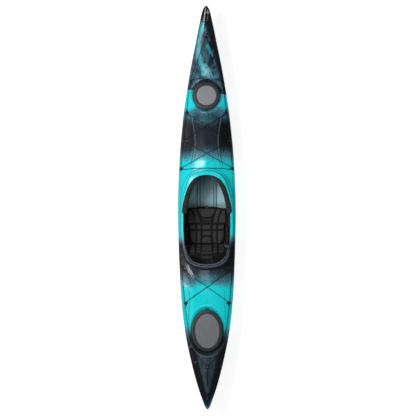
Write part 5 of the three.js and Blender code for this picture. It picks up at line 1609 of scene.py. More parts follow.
# painted shade weights on the rim's inner wall, its groove and its outer roll
RIM_PAINTED_SHADE = {i: v for i, v in zip(range(3, 12), (1, 1, 1, 1, 1, 1, 1, 0.9, 0.6))}
RIM_PAINTED_SHADE.update({12: 0.35, 17: 0.5, 18: 0.95, 19: 0.95, 20: 0.5, 24: 0.6, 25: 0.95, 26: 1, 27: 1})
for label, h in (("bow", BOW_HATCH), ("stern", STERN_HATCH)):
    body = f"{label}_hatch"
    n = 168
    th = np.linspace(0, 2 * np.pi, n + 1)[:-1]

    def oval_ring(inset, dz):
        return np.c_[(h["a"] - inset) * np.cos(th), h["y"] + (h["b"] - inset) * np.sin(th), np.full(n, h["seat"] + dz)]
    rings = np.stack([oval_ring(*q) for q in RIM])
    k = len(RIM)
    idx = np.arange(k * n).reshape(k, n)
    i2, j2 = np.roll(idx, -1, 0), np.roll(idx, -1, 1)
    faces = np.stack([idx, j2, np.roll(i2, -1, 1), i2], -1).reshape(-1, 4)
    bits = Bits()
    bits.add(rings.reshape(-1, 3), faces.tolist())
    edge = np.repeat([RIM_PAINTED_SHADE.get(i, 0.0) for i in range(k)], n)
    s = -1 if label == "bow" else 1
    plan = round_outline([(-21, -6), (21, -6), (21, 4), (17, 10.5), (9, 13.4), (-9, 13.4), (-17, 10.5), (-21, 4)], 2)
    tab = extruded([plan], 9.0, 1.8, 3)
    o = np.array([0.0, h["y"] + s * (h["b"] - 8 + 0.4), h["seat"] + 8.2])
    before = bits.n
    bits.put_mesh(tab, (o, np.array([1.0, 0, 0]), np.array([0, float(s), 0]), np.array([0, 0, 1.0])))
    for q in (4.0, 7.6, 11.0):                # grip ribs on the tab
        line = np.array([(x, o[1] + s * q, o[2] + 4.7) for x in np.linspace(-10 + q * 0.2, 10 - q * 0.2, 9)])
        bits.tube(line, 0.9, 8)
    # the tab takes the dark colour all over
    edge = np.concatenate([edge, np.full(bits.n - before, 1.0)])
    me = bits.mesh("hatch_rim", 38)
    set_attr(me, "edge", edge)
    add_piece(f"{label}_hatch_cover_rim", me, body=body, mats=(hatch_rubber,),
              replaces=(f"{label}_hatch_rim",))
    ai, bi = h["a"] - 36.9, h["b"] - 36.9
    prof = [(0.0, 16.5), (0.0, 20.6), (0.35, 21.5), (1.2, 22.1), (3.0, 22.5)]
    rows = [np.c_[(ai - q) * np.cos(th), h["y"] + (bi - q) * np.sin(th), np.full(n, h["seat"] + z)] for q, z in prof]
    for f in (0.955, 0.93, 0.915, 0.90, 0.885, 0.87, 0.84, 0.75, 0.6, 0.45, 0.3, 0.15):
        z = 22.6 + 1.6 * (1 - f ** 2) - 0.7 * math.exp(-((f - 0.90) / 0.014) ** 2)
        rows.append(np.c_[ai * f * np.cos(th), h["y"] + bi * f * np.sin(th), np.full(n, h["seat"] + z)])
    verts = np.concatenate(rows + [np.array([[0, h["y"], h["seat"] + 24.2], [0, h["y"], h["seat"] + 16.5]])])
    k = len(rows)
    faces = [[i * n + j, i * n + (j + 1) % n, (i + 1) * n + (j + 1) % n, (i + 1) * n + j] for i in range(k - 1) for j in range(n)]
    faces += [[(k - 1) * n + j, (k - 1) * n + (j + 1) % n, k * n] for j in range(n)]
    faces += [[(j + 1) % n, j, k * n + 1] for j in range(n)]
    bits = Bits()
    bits.add(verts, faces)
    add_piece(f"{label}_hatch_cover_panel", bits.mesh("hatch_panel", 38), body=body, mats=(panel_mats[label],),
              replaces=(f"{label}_hatch_panel",))

# ---------------------------------------------------------------- padded pieces
def make_fabric(name, low=(0.0014, 0.0014, 0.0017), high=(0.0345, 0.0343, 0.0350)):
    """Coated weave over foam: darker in the sewn channels as painted shade, lighter and mottled on the crowns."""
    m = Nodes(name)
    P = m.coords()
    x, y, z = m.xyz(P)
    w = 2 * math.pi / 0.0021
    wx = m.math("SINE", m.math("MULTIPLY", x, w))
    wy = m.math("SINE", m.math("MULTIPLY", m.math("ADD", y, m.math("MULTIPLY", z, 0.6)), w))
    weave = m.math("MULTIPLY", m.math("ADD", m.math("MULTIPLY", wx, wy), 1.0), 0.5)
    n1 = m.noise(P, 1400.0, 2.0, 0.6)
    n2 = m.noise(P, 45.0, 4.0, 0.62)
    n3 = m.noise(P, 150.0, 3.0, 0.6)
    at = m.node("ShaderNodeAttribute", attribute_name="lobe")
    lobe = at.outputs["Fac"]
    top = m.mix(n2, tuple(np.array(high) * 0.72), tuple(np.array(high) * 1.25))
    top = m.mix(m.map(weave, 0.0, 1.0, 0.0, 0.35, "LINEAR"), top, tuple(np.array(high) * 0.45))
    # painted shade: the lobe weight darkens the fabric in the channels between the lobes
    col = m.mix(lobe, low, top)
    rough = m.map(n2, 0.2, 0.8, 0.66, 0.82, "LINEAR")
    normal = m.bump(n3, 0.35, 0.0022, m.bump(weave, 0.45, 0.0005, m.bump(n1, 0.2, 0.0003)))
    return m.finish(col, rough, normal, Specular_IOR_Level=0.08, Sheen_Weight=0.02, Sheen_Roughness=0.45)


fabric = make_fabric("seat_fabric")


def make_webbing(name):
    m = Nodes(name)
    uv = m.node("ShaderNodeUVMap")
    uv.uv_map = "cord"
    u, v, _ = m.xyz(uv.outputs[0])
    a = m.math("SINE", m.math("MULTIPLY", u, 2 * math.pi / 0.0026))
    b = m.math("SINE", m.math("MULTIPLY", v, 2 * math.pi * 9))
    rib = m.math("MULTIPLY", m.math("ADD", m.math("MULTIPLY", a, b), 1.0), 0.5)
    P = m.coords()
    n = m.noise(P, 300.0, 3.0, 0.6)
    col = m.mix(rib, (0.009, 0.009, 0.010), (0.026, 0.026, 0.028))
    col = m.mix(m.map(n, 0.5, 0.8, 0.0, 0.4), col, (0.034, 0.034, 0.036))
    return m.finish(col, 0.66, m.bump(rib, 0.5, 0.0006, m.bump(n, 0.2, 0.0004)), Specular_IOR_Level=0.25)


webbing = make_webbing("webbing")
soft_parts = []                               # waiting for the cloth simulation


def pad_field(name, X, Y, top, bottom, lobes, body, node, to_world, edge_r=15.0, channel=8.5, soft=6.5, D=None, cap=5.0,
              crown=2.5, slot="seat_fabric"):
    """A closed pad over a grid. X, Y: grid in the pad's own plane; top, bottom: heights; lobes: outlines of the raised parts."""
    r, c = X.shape
    L = np.zeros_like(X)
    deep = np.zeros_like(X)
    for poly in lobes:
        o = Outline(poly)
        d = -o.distance(X, Y)
        L = np.maximum(L, smooth(-1.5, soft, d))
        deep = np.maximum(deep, np.clip(d, 0, 30) / 30)
    half = (top - bottom) / 2
    mid = (top + bottom) / 2
    e = np.sqrt(np.clip(1 - (1 - np.clip(D / edge_r, 0, 1)) ** 2, 0, 1))
    inner = smooth(0.3, 1.4, D / edge_r)
    Zt = mid + half * e - channel * (1 - L) * inner + crown * deep * inner
    Zb = mid - half * e
    V = np.concatenate([np.stack([X, Y, Zt], -1).reshape(-1, 3), np.stack([X, Y, Zb], -1).reshape(-1, 3)])
    idx = np.arange(r * c).reshape(r, c)
    top_faces = np.stack([idx[:-1, :-1], idx[:-1, 1:], idx[1:, 1:], idx[1:, :-1]], -1).reshape(-1, 4)
    low_faces = top_faces[:, ::-1] + r * c
    border = np.zeros((r, c), bool)
    border[0] = border[-1] = True
    border[:, 0] = border[:, -1] = True
    # the border is shared by top and bottom
    remap = np.arange(2 * r * c)
    remap[r * c:][border.ravel()] = np.arange(r * c)[border.ravel()]
    faces = remap[np.concatenate([top_faces, low_faces])]
    used = np.unique(faces)
    new = np.full(2 * r * c, -1)
    new[used] = np.arange(len(used))
    V = V[used]
    faces = new[faces]
    # the lobe weight also paints shade: dark in the channels and underneath
    lobe = np.concatenate([(L * 0.999).ravel(), np.zeros(r * c)])[used]
    free = np.concatenate([((L > 0.22) & (D > 5)).ravel(), np.zeros(r * c, bool)])[used]
    W = to_world(V)
    me = mesh_of(W, faces.tolist(), name)
    set_attr(me, "lobe", lobe)
    rim = np.concatenate([idx[0], idx[1:, -1], idx[-1, ::-1][1:], idx[::-1, 0][1:-1]])
    soft_parts.append(dict(name=name, me=me, pin=np.where(~free)[0], cap=cap, body=body, node=node, slot=slot,
                           rim=new[rim], binding=2.6))
    return soft_parts[-1]


def loft_pad(name, rings, free, body, node, cap=4.0, lobe=None, slot="seat_fabric"):
    """A closed pad lofted through rings of one count; free marks the points that the filling may push out."""
    R = np.asarray(rings, float)
    k, n = R.shape[:2]
    V = np.concatenate([R.reshape(-1, 3), [R[0].mean(0)], [R[-1].mean(0)]])
    idx = np.arange(k * n).reshape(k, n)
    faces = np.stack([idx[:-1], np.roll(idx, -1, 1)[:-1], np.roll(idx, -1, 1)[1:], idx[1:]], -1).reshape(-1, 4).tolist()
    faces += [[int(idx[0, (j + 1) % n]), int(idx[0, j]), k * n] for j in range(n)]
    faces += [[int(idx[-1, j]), int(idx[-1, (j + 1) % n]), k * n + 1] for j in range(n)]
    me = mesh_of(V, faces, name)
    bm = bmesh.new()
    bm.from_mesh(me)
    bmesh.ops.recalc_face_normals(bm, faces=bm.faces)
    bm.to_mesh(me)
    bm.free()
    f = np.concatenate([np.asarray(free, bool).ravel(), [False, False]])
    set_attr(me, "lobe", np.concatenate([(np.ones(k * n) if lobe is None else np.asarray(lobe, float).ravel()), [1.0, 1.0]]))
    soft_parts.append(dict(name=name, me=me, pin=np.where(~f)[0], cap=cap, body=body, node=node, slot=slot, rim=None,
                           binding=0.0))


def mirror_poly(poly):
    return [(-x, y) for x, y in poly][::-1]


def fillet(poly, r=11.0, steps=5):
    """Rounds the corners of a closed outline to radius r, anticlockwise."""
    P = np.array(poly, float)
    if (P[:, 0] * np.roll(P[:, 1], -1) - np.roll(P[:, 0], -1) * P[:, 1]).sum() < 0:
        P = P[::-1]
    out = []
    for i in range(len(P)):
        a, p, b = P[i - 1], P[i], P[(i + 1) % len(P)]
        u, w = (a - p), (b - p)
        lu, lw = np.linalg.norm(u), np.linalg.norm(w)
        u, w = u / lu, w / lw
        half = math.acos(max(-1, min(1, float(u @ w)))) / 2
        t = min(r / math.tan(half), 0.46 * lu, 0.46 * lw)
        for k in range(steps + 1):
            q = k / steps
            out.append((p + u * t) * (1 - q) ** 2 + 2 * p * q * (1 - q) + (p + w * t) * q * q)
    return np.array(out)


def both(poly, r=11.0):
    return [fillet(poly, r), fillet(mirror_poly(poly), r)]


def one(poly, r=11.0):
    return [fillet(poly, r)]


def ease(n, k=0.7):
    """-1..1, a little denser at the ends."""
    t = np.linspace(-1, 1, n)
    return t * (1 - k * 0.35) + np.sin(t * np.pi / 2) * k * 0.35


SEAT_FRONT, SEAT_BREAK, SEAT_REAR = 4.0, -172.0, -388.0
# leg lifter: the front part of the seat
s, t = ease(79), (ease(39) + 1) / 2
S, T = np.meshgrid(s, t)
X = S * (209 - 9 * T)
front = 12 - 44 * (np.abs(X) / 209) ** 2.6 - 13 * smooth(0.84, 1.0, np.abs(X) / 209)
Y = (SEAT_BREAK + 1) + T * (front - (SEAT_BREAK + 1))
D = np.minimum(209 - 9 * T - np.abs(X), np.minimum(Y - (SEAT_BREAK + 1) + 3, front - Y))
top = 85 + 15.5 * (np.abs(X) / 205) ** 1.7 - 5 * smooth(-35, 12, Y)
bottom = 47 + 27 * smooth(140, 212, np.abs(X)) + 6 * smooth(-30, 12, Y)
lift_lobes = [*both([(-213, -42), (-170, -20), (-133, -100), (-127, -163), (-200, -163), (-207, -110)][::-1]),
              *both([(-158, -16), (-108, -10), (-84, -80), (-65, -163), (-119, -163), (-128, -95)][::-1]),
              *one([(-96, -10), (96, -10), (88, -40), (62, -88), (38, -103), (-38, -103), (-62, -88), (-88, -40)][::-1]),
              *one([(-57, -108), (-40, -116), (0, -120), (40, -116), (57, -108), (54, -128), (30, -140), (-30, -140), (-54, -128)][::-1]),
              *one([(-56, -148), (-30, -151), (30, -151), (56, -148), (58, -164), (-58, -164)][::-1])]
pad_field("leg_lifter_cushion", X, Y, top, bottom, lift_lobes, "leg_lifter", "leg_lifter_pad", lambda V: V, D=D)
# main seat pad
s, t = ease(73), (ease(45) + 1) / 2
S, T = np.meshgrid(s, t)
rear = SEAT_REAR + 3
X = S * (190 - 26 * smooth(0.22, 0.0, T))
Y = rear + T * (SEAT_BREAK - 5 - rear)
D = np.minimum(190 - 26 * smooth(0.22, 0.0, T) - np.abs(X), np.minimum(Y - rear, SEAT_BREAK - 5 - Y + 3))
top = 79 + 5.5 * (np.abs(X) / 180) ** 2
bottom = 47 + 12 * smooth(150, 190, np.abs(X))
seat_lobes = [*both([(120, -182), (186, -182), (184, -231), (118, -234)][::-1]),
              *both([(60, -182), (108, -182), (106, -235), (68, -236), (60, -214)][::-1]),
              *one([(-50, -182), (50, -182), (46, -204), (46, -236), (-46, -236), (-46, -204)]),
              *both([(116, -247), (182, -244), (180, -300), (170, -345), (146, -378), (122, -384), (117, -330)][::-1]),
              *both([(61, -248), (106, -247), (106, -384), (72, -386), (62, -330)][::-1]),
              *one([(-48, -248), (48, -248), (50, -298), (-50, -298)]),
              *one([(0, -306), (34, -312), (50, -330), (54, -374), (30, -380), (-30, -380), (-54, -374), (-50, -330), (-34, -312)][::-1])]
pad_field("seat_base_cushion", X, Y, top, bottom, seat_lobes, "kayak", "seat_base_pad", lambda V: V, D=D)
# seat back, drawn upright: x across, v up the back, thickness forward
LEAN = math.radians(27)


def from_back(V, hinge=(-404.0, 84.0)):
    """(x, v, w) on the back: w forward."""
    V = np.asarray(V, float)
    c, sn = math.cos(LEAN), math.sin(LEAN)
    return np.stack([V[..., 0], hinge[0] + V[..., 2] * c - V[..., 1] * sn, hinge[1] + V[..., 2] * sn + V[..., 1] * c], -1)


s, t = ease(75), (ease(49) + 1) / 2
S, T = np.meshgrid(s, t)
v = -3 + T * 226
half_w = 193 - 46 * (1 - np.sqrt(np.clip(1 - np.clip(1 - v / 50, 0, 1) ** 2, 0, 1))) \
    - 34 * (1 - np.sqrt(np.clip(1 - np.clip((v - 187) / 36, 0, 1) ** 2, 0, 1)))
X = S * half_w
D = np.minimum(half_w - np.abs(X), np.minimum(v + 3, 223 - v))
curve = 9 * (np.abs(X) / 190) ** 2            # the outer ends come forward a little
top = 15 + curve * 0.4
bottom = -9 + curve * 0.2
back_lobes = []
for v0, v1, dx in ((6, 58, 0), (69, 116, 0), (127, 188, 1)):
    back_lobes += both([(128, v0), (186 - 14 * (v0 < 20), v0), (187 - 18 * dx, v1), (127, v1 + 5 * dx)])
    back_lobes += both([(64, v0), (112, v0), (111, v1 + 5 * dx), (66, v1 + 6 * dx)])
back_lobes += one([(-52, 6), (52, 6), (54, 140), (-54, 140)])
back_lobes += one([(-52, 151), (52, 151), (66, 210), (-66, 210)])
pad_field("seat_back_cushion", X, v, top, bottom, back_lobes, "seat_back", "seat_back_pad", from_back, edge_r=11,
          channel=6.5, D=D, cap=4.5)
# hip pads on the wings of the pan
for side, label in ((1, "starboard"), (-1, "port")):
    ys = np.linspace(-196, -378, 34)
    rings, free, lobe = [], [], []
    for i, y in enumerate(ys):
        q = min(i, len(ys) - 1 - i) / 3.0
        k = 1 if q >= 1 else 0.35 + 0.65 * math.sqrt(1 - (1 - q) ** 2)
        rib = 0.5 + 0.5 * math.cos((y + 287) / 182 * 2 * math.pi * 3)
        groove = smooth(0.0, 0.25, rib)
        back = [(213, 94), (219, 114), (224, 134), (227.5, 160), (230, 184)]
        face = [(224 - 1, 190), (212, 186), (208 - 2.0 * groove, 168), (206.5 - 4 * groove, 150), (204.5 - 4 * groove, 134),
                (203.5 - 4 * groove, 118), (203, 104), (206, 95)]
        pts = np.array(back + face)
        mid = pts.mean(0)
        pts = mid + (pts - mid) * k
        ring = catmull(np.c_[pts, np.zeros(len(pts))], True, 3)[:, :2]
        rings.append(np.c_[side * ring[:, 0], np.full(len(ring), y), ring[:, 1]])
        on = np.zeros(len(ring), bool)
        on[7 * 3:12 * 3] = groove > 0.5 and q >= 1
        free.append(on)
        # painted shade: the back and the grooves of the face take the dark fabric colour
        lb = np.full(len(ring), 0.12)
        lb[6 * 3:13 * 3] = 0.10 + 0.42 * groove
        lobe.append(lb)
    loft_pad(f"{label}_hip_cushion", rings, free, "kayak", f"{label}_hip_pad", lobe=lobe, cap=3.0)


# thigh pads that hug the underside of the coaming
def follow_opening(side, y0, y1, n):
    P = opening.p
    P = P[(P[:, 0] > 0) & (P[:, 1] < y0 + 12) & (P[:, 1] > y1 - 12)]
    P = P[np.argsort(-P[:, 1])]
    d = np.concatenate([[0], np.cumsum(np.linalg.norm(np.diff(P, axis=0), axis=1))])
    a, b = np.interp([-y0, -y1], -P[:, 1], d)
    s = np.linspace(a, b, n)
    Q = np.c_[np.interp(s, d, P[:, 0]), np.interp(s, d, P[:, 1])]
    g = np.gradient(Q, axis=0)
    nn = np.c_[-g[:, 1], g[:, 0]]
    nn /= np.linalg.norm(nn, axis=1)[:, None]
    nn[nn[:, 0] < 0] *= -1
    return np.c_[side * Q[:, 0], Q[:, 1]], np.c_[side * nn[:, 0], nn[:, 1]], s - a, b - a


for side, label in ((1, "starboard"), (-1, "port")):
    Q, N, s, total = follow_opening(side, 314, -66, 80)
    rings, free, lobe = [], [], []
    for i in range(len(Q)):
        q = min(s[i], total - s[i]) / 16.0
        k = 1 if q >= 1 else 0.30 + 0.70 * math.sqrt(max(0, 1 - (1 - q) ** 2))
        z = float(rim_z(Q[i, 1]))
        f_ = s[i] / total
        w = 36 + 7 * float(smooth(0, 0.3, f_)) - 3 * float(smooth(0.6, 1, f_))
        g = 1.6 * float(smooth(0.3, 0, f_))
        seam = math.exp(-(((f_ * 3) % 1 - 0.5) / 0.035) ** 2)
        e = (2.4 + 6 * float(smooth(0, 0.35, f_)) + 8 * float(smooth(0.62, 0.86, f_))) * float(smooth(1.06, 0.94, f_))
        pts = np.array([(-8 - g, z - 23), (-7.6 - g, z - 14), (-7.4 - g, z - 8.6), (-2.2 - g, z - 7.6), (-1.5 - g, z - 2),
                        (-0.8 - g, z + 1.0), (e * 0.4, z + 1.0), (e, z + 1.0 - 0.03 * e), (e + 1.2, z + 2.5), (e * 0.72, z + 4.7), (e * 0.2 - 2, z + 5.4),
                        (-14, z + 5.0), (-w + 16, z + 3.0), (-w + 5, z - 1.5), (-w, z - 9), (-w, z - 16), (-w + 4, z - 23),
                        (-w + 12, z - 25), (-15, z - 24.6)])
        mid = np.array([-16.0, z - 4.0])
        pts = mid + (pts - mid) * k * (1 - 0.10 * seam)
        ring = catmull(np.c_[pts, np.zeros(len(pts))], True, 3)[:, :2]
        R3 = np.c_[Q[i, 0] + N[i, 0] * ring[:, 0], Q[i, 1] + N[i, 1] * ring[:, 0], ring[:, 1]]
        rings.append(R3)
        on = np.zeros(len(ring), bool)
        on[9 * 3:15 * 3 + 1] = q > 1 and seam < 0.4
        free.append(on)
        # painted shade: darker at the sewn seams and on the face below the lip
        lb = np.full(len(ring), 0.50 * (1 - 0.7 * seam))
        lb[:15] = 0.1
        lobe.append(lb)
    loft_pad(f"{label}_thigh_cushion", rings, free, "kayak", f"{label}_thigh_pad", lobe=lobe, cap=3.0)


def simulate(parts, frames=20):
    """Cloth with air pressure pushes the filled parts out between their seams."""
    obs = []
    for p in parts:
        me = p["me"].copy()
        ob = bpy.data.objects.new("sim", me)
        scene.collection.objects.link(ob)
        vg = ob.vertex_groups.new(name="pin")
        vg.add([int(i) for i in p["pin"]], 1.0, "REPLACE")
        md = ob.modifiers.new("cloth", "CLOTH")
        st = md.settings
        st.quality = 6
        st.mass = 0.25
        st.tension_stiffness = 22
        st.compression_stiffness = 12
        st.shear_stiffness = 8
        st.bending_stiffness = 0.6
        st.use_pressure = True
        st.uniform_pressure_force = 5.0
        st.vertex_group_mass = "pin"
        st.effector_weights.gravity = 0.0
        md.collision_settings.use_collision = False
        md.collision_settings.use_self_collision = False
        md.point_cache.frame_start = 1
        md.point_cache.frame_end = frames
        obs.append((p, ob))
    for f in range(1, frames + 1):
        scene.frame_set(f)
    dg = bpy.context.evaluated_depsgraph_get()
    for p, ob in obs:
        ev = ob.evaluated_get(dg).data
        n = len(p["me"].vertices)
        a = np.empty(n * 3)
        b = np.empty(n * 3)
        p["me"].vertices.foreach_get("co", a)
        ev.vertices.foreach_get("co", b)
        a, b = a.reshape(-1, 3), b.reshape(-1, 3)
        d = b - a
        r = np.linalg.norm(d, axis=1)
        cap = p["cap"] * MM
        k = np.where(r > 1e-9, cap * np.tanh(r / cap) / np.maximum(r, 1e-9), 1)
        p["me"].vertices.foreach_set("co", (a + d * k[:, None]).ravel())
        print("cloth", p["name"], "moved up to", round(float(r.max()) * 1000, 1), "mm, mean", round(float(r.mean()) * 1000, 2))
    for _, ob in obs:
        me = ob.data
        bpy.data.objects.remove(ob)
        bpy.data.meshes.remove(me)
    scene.frame_set(1)


simulate(soft_parts)
for p in soft_parts:
    me = p["me"]
    me.polygons.foreach_set("use_smooth", np.ones(len(me.polygons), bool))
    if p["rim"] is not None:                  # bound edge all the way round
        co = np.array([v.co for v in me.vertices])[p["rim"]] / MM
        loop = np.vstack([co, co[:2]])
        bits = Bits()
        bits.tube(loop, p["binding"], 8)
        edge = bits.mesh("binding")
        bm = bmesh.new()
        bm.from_mesh(me)
        lay = bm.verts.layers.float.get("lobe")
        n0 = len(bm.verts)
        bm.from_mesh(edge)
        bm.verts.ensure_lookup_table()
        for v_ in bm.verts[n0:]:
            v_[lay] = 0.35
        bm.to_mesh(me)
        bm.free()
        me.polygons.foreach_set("use_smooth", np.ones(len(me.polygons), bool))
    ob = add_piece(p["name"], me, body=p["body"], mats=(fabric,), replaces=(p["node"],))
    sub = ob.modifiers.new("smooth", "SUBSURF")
    sub.levels = sub.render_levels = 1

# ---------------------------------------------------------------- seat shell and hardware
hard = make_plastic("seat_plastic", (0.0135, 0.014, 0.0145), (0.42, 0.56), 1100.0)
half_sec = [(0, 12), (80, 14), (150, 24), (200, 42), (226, 82), (238, 132), (243, 194)]
inner_sec = [(237.5, 196), (235, 192), (229, 133), (217, 86), (192, 52), (146, 34), (80, 24), (0, 22)]
sec = catmull(np.c_[np.array(half_sec + inner_sec, float), np.zeros(15)], False, 6)[:, :2]
sec = sec[np.concatenate([[True], np.linalg.norm(np.diff(sec, axis=0), axis=1) > 0.2])]
full = np.concatenate([sec, (sec * [-1, 1])[::-1][1:-1]])
rings = []
for y in [-4.0, -5.0, -8.0, *np.linspace(-14, -388, 40), -394.0, -397.0, -398.0]:
    e = min(abs(y + 4), abs(y + 398))
    lower = 64 * smooth(-95, -4, y) + 22 * smooth(-330, -398, y)
    z = full[:, 1]
    k = smooth(90, 196, z)
    z2 = z - lower * k
    x2 = full[:, 0] * (1 - 0.012 * k * smooth(-95, -4, y))
    mid = np.c_[x2, z2]
    if e < 4:                                 # near the ends the section is left unchanged
        thin = 0.45 + 0.55 * math.sqrt(max(0.0, 1 - (1 - e / 4) ** 2))
        other = np.c_[np.interp(np.arange(len(full)), np.arange(len(full)), x2), z2]
        core = np.c_[np.sign(full[:, 0]) * 0, np.zeros(len(full))]
        m_sec = (mid + mid[::-1] * [-1, 1]) / 2 if False else mid
        mid = m_sec
    rings.append(np.c_[mid[:, 0], np.full(len(mid), y), mid[:, 1]])
R = np.array(rings)
k, n = R.shape[:2]
idx = np.arange(k * n).reshape(k, n)
faces = np.stack([idx[:-1], np.roll(idx, -1, 1)[:-1], np.roll(idx, -1, 1)[1:], idx[1:]], -1).reshape(-1, 4).tolist()
h2 = n // 2
m_right = len(sec)
# close both ends with strips between the outer and the inner skin
order = list(range(n))
outer_i = list(range(0, len(half_sec) * 6 - 5))
faces_end = []
for ring in (0, k - 1):
    a = [j for j in order if True]
    bmt = bmesh.new()
    vs = [bmt.verts.new(Vector(R[ring][j])) for j in a]
    f0 = bmt.faces.new(vs)
    tri = bmesh.ops.triangulate(bmt, faces=[f0])
    bmt.verts.index_update()
    for f in bmt.faces:
        q = [int(idx[ring, v_.index]) for v_ in f.verts]
        faces_end.append(q)
    bmt.free()
bits = Bits()
bits.add(R.reshape(-1, 3), faces + faces_end)
for side in (1, -1):                          # bolts that hold the wings, with a washer plate
    for yb, zb in ((-120, 150), (-300, 168)):
        xb = float(np.interp(zb, [34, 86, 133, 192], [192, 217, 229, 235]))
        bits.lathe([(0, -1.0), (9.5, -1.0), (9.5, 0.8), (8.6, 1.6), (5.2, 1.8), (5.0, 3.6), (4.0, 4.4), (0, 4.5)],
                   (np.array([side * xb, yb, zb - 4.0]), np.array([0, 1.0, 0]), np.array([0, 0, 1.0]) * side,
                    np.array([-side, 0, 0.12])), 24)
add_piece("seat_pan_shell", bits.mesh("pan", 40), mats=(hard,), replaces=("seat_pan",))


def rounded_box(w, h, c):
    return [(-w + c, 0), (w - c, 0), (w, c), (w, h - c * 0.7), (w - c * 0.7, h), (-w + c * 0.7, h), (-w, h - c * 0.7), (-w, c)]


def back_axes(v, w):
    """Frame on the seat back whose third axis points forward."""
    o = from_back(np.array([0.0, v, w]))
    ex = np.array([1.0, 0, 0])
    ev = from_back(np.array([0.0, v + 1, w])) - o
    ew = from_back(np.array([0.0, v, w + 1])) - o
    return o, ex, ev, ew


plate = extruded([round_outline(rounded_box(185, 213, 46), 2),
                  round_outline([(-120, 40), (120, 40), (126, 56), (126, 112), (118, 126), (-118, 126), (-126, 112), (-126, 56)], 2)],
                 7.4, 1.6, 2)
bits = Bits()
bits.put_mesh(plate, back_axes(0.5, -14.0))
for v0 in (66.0, 96.0):                       # stiffening bars across the window of the shell
    line = np.array([from_back(np.array([x, v0, -14.0])) for x in np.linspace(-124, 124, 24)])
    bits.tube(line, 3.4, 10)
for x0 in (-140.0, 140.0):
    line = np.array([from_back(np.array([x0, q, -17.6])) for q in np.linspace(26, 190, 20)])
    bits.tube(line, 2.4, 8)
add_piece("seat_back_shell", bits.mesh("back_shell", 40), body="seat_back", mats=(hard,),
          replaces=("seat_back_frame",))
grey = make_plastic("grey_plastic", (0.066, 0.069, 0.074), (0.40, 0.55), 1000.0)
block = extruded([round_outline([(-58, 150), (58, 150), (58, 196), (-58, 196)], 3),
                  round_outline([(-26, 163), (26, 163), (26, 183), (-26, 183)], 2)], 26.4, 2.4, 3)
bits = Bits()
bits.put_mesh(block, back_axes(0.0, -32.2))
for x0 in (-46.0, -38.0, 38.0, 46.0):         # moulded grip ribs
    line = np.array([from_back(np.array([x0, q, -45.2])) for q in np.linspace(157, 189, 12)])
    bits.tube(line, 1.7, 8)
add_piece("seat_back_bracket", bits.mesh("bracket", 40), body="seat_back", mats=(grey,),
          replaces=("seat_back_adjuster",))


def ribbon(points, wide, half_w, thick, sides_round=True, per=6.0):
    """A flat strap along points, its width along the vectors in wide."""
    P = cord_line(points, per)
    Wd = np.array([np.asarray(w, float) for w in wide])
    m_ = np.linspace(0, 1, len(Wd))
    q = np.linspace(0, 1, len(P))
    Wv = np.c_[[np.interp(q, m_, Wd[:, i]) for i in range(3)]].T
    tan = np.gradient(P, axis=0)
    tan /= np.linalg.norm(tan, axis=1)[:, None]
    Wv -= tan * (Wv * tan).sum(1)[:, None]
    Wv /= np.linalg.norm(Wv, axis=1)[:, None]
    Nv = np.cross(tan, Wv)
    sec = [(-1, 0.0), (-0.96, 0.8), (-0.85, 1), (-0.4, 1), (0, 1), (0.4, 1), (0.85, 1), (0.96, 0.8), (1, 0), (0.96, -0.8),
           (0.85, -1), (0.4, -1), (0, -1), (-0.4, -1), (-0.85, -1), (-0.96, -0.8)]
    s_len = np.concatenate([[0], np.cumsum(np.linalg.norm(np.diff(P, axis=0), axis=1))]) * MM
    verts, faces, uvs = [], [], []
    for i in range(len(P)):
        for a, b in sec:
            verts.append(P[i] + Wv[i] * a * half_w + Nv[i] * b * thick / 2)
    k = len(sec)
    for i in range(len(P) - 1):
        for j in range(k):
            j2 = (j + 1) % k
            faces.append([i * k + j, i * k + j2, (i + 1) * k + j2, (i + 1) * k + j])
            va, vb = sec[j][0] * 0.5 + 0.5, sec[j2][0] * 0.5 + 0.5
            uvs.append([(s_len[i], va), (s_len[i], vb), (s_len[i + 1], vb), (s_len[i + 1], va)])
    for i, flip in ((0, True), (len(P) - 1, False)):
        f = [i * k + j for j in range(k)]
        faces.append(f[::-1] if flip else f)
        uvs.append([(s_len[i], 0.5)] * k)
    return verts, faces, uvs


for side, label in ((1, "starboard"), (-1, "port")):
    pts = [(side * 234, -352, 128), (side * 231, -372, 142), (side * 226.5, -388, 153), (side * 222.5, -408, 168),
           (side * 213, -424, 180), (side * 204, -437, 188)]
    bits = Bits()
    bits.add(*ribbon([np.array(p, float) for p in pts], [(0, 0.25, 1), (0, 0.3, 1), (0.05 * side, 0.45, 1)], 12, 2.0))
    ob = add_piece(f"{label}_back_webbing", bits.mesh("strap", 50), mats=(webbing,),
                   replaces=(f"{label}_back_strap",))
    bpy.context.view_layer.update()
    me = ob.data
    bpy.data.objects.remove(ob)
    ob = bpy.data.objects.new(f"{label}_back_webbing", me)
    scene.collection.objects.link(ob)
    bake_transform(ob)
    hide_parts(f"{label}_back_strap")
    strap_end = np.array(pts[0], float)
    bits = Bits()                              # bolt and washer where the strap is fixed to the pan
    bits.lathe([(0, 0), (8.5, 0), (8.8, 0.8), (8.0, 1.5), (4.6, 1.7), (4.4, 3.6), (3.6, 4.4), (0, 4.6)],
               (strap_end + np.array([-side * 1.0, 7.0, 5.0]), np.array([0, 1.0, 0]), np.array([0, 0, 1.0]) * side,
                np.array([-side, 0, 0.1])), 24)
    add_piece(f"{label}_strap_bolt", bits.mesh("bolt", 40), mats=(steel,))

# pull tab of webbing on the front of the leg lifter
pts = [(2, -8, 84), (2, 6, 84.5), (2, 16, 80), (2, 20, 70), (2, 17, 60)]
bits = Bits()
bits.add(*ribbon([np.array(p, float) for p in pts], [(1, 0, 0), (1, 0, 0)], 11, 2.2, per=3.0))
add_piece("leg_lifter_tab", bits.mesh("tab", 50), body="leg_lifter", mats=(webbing,))

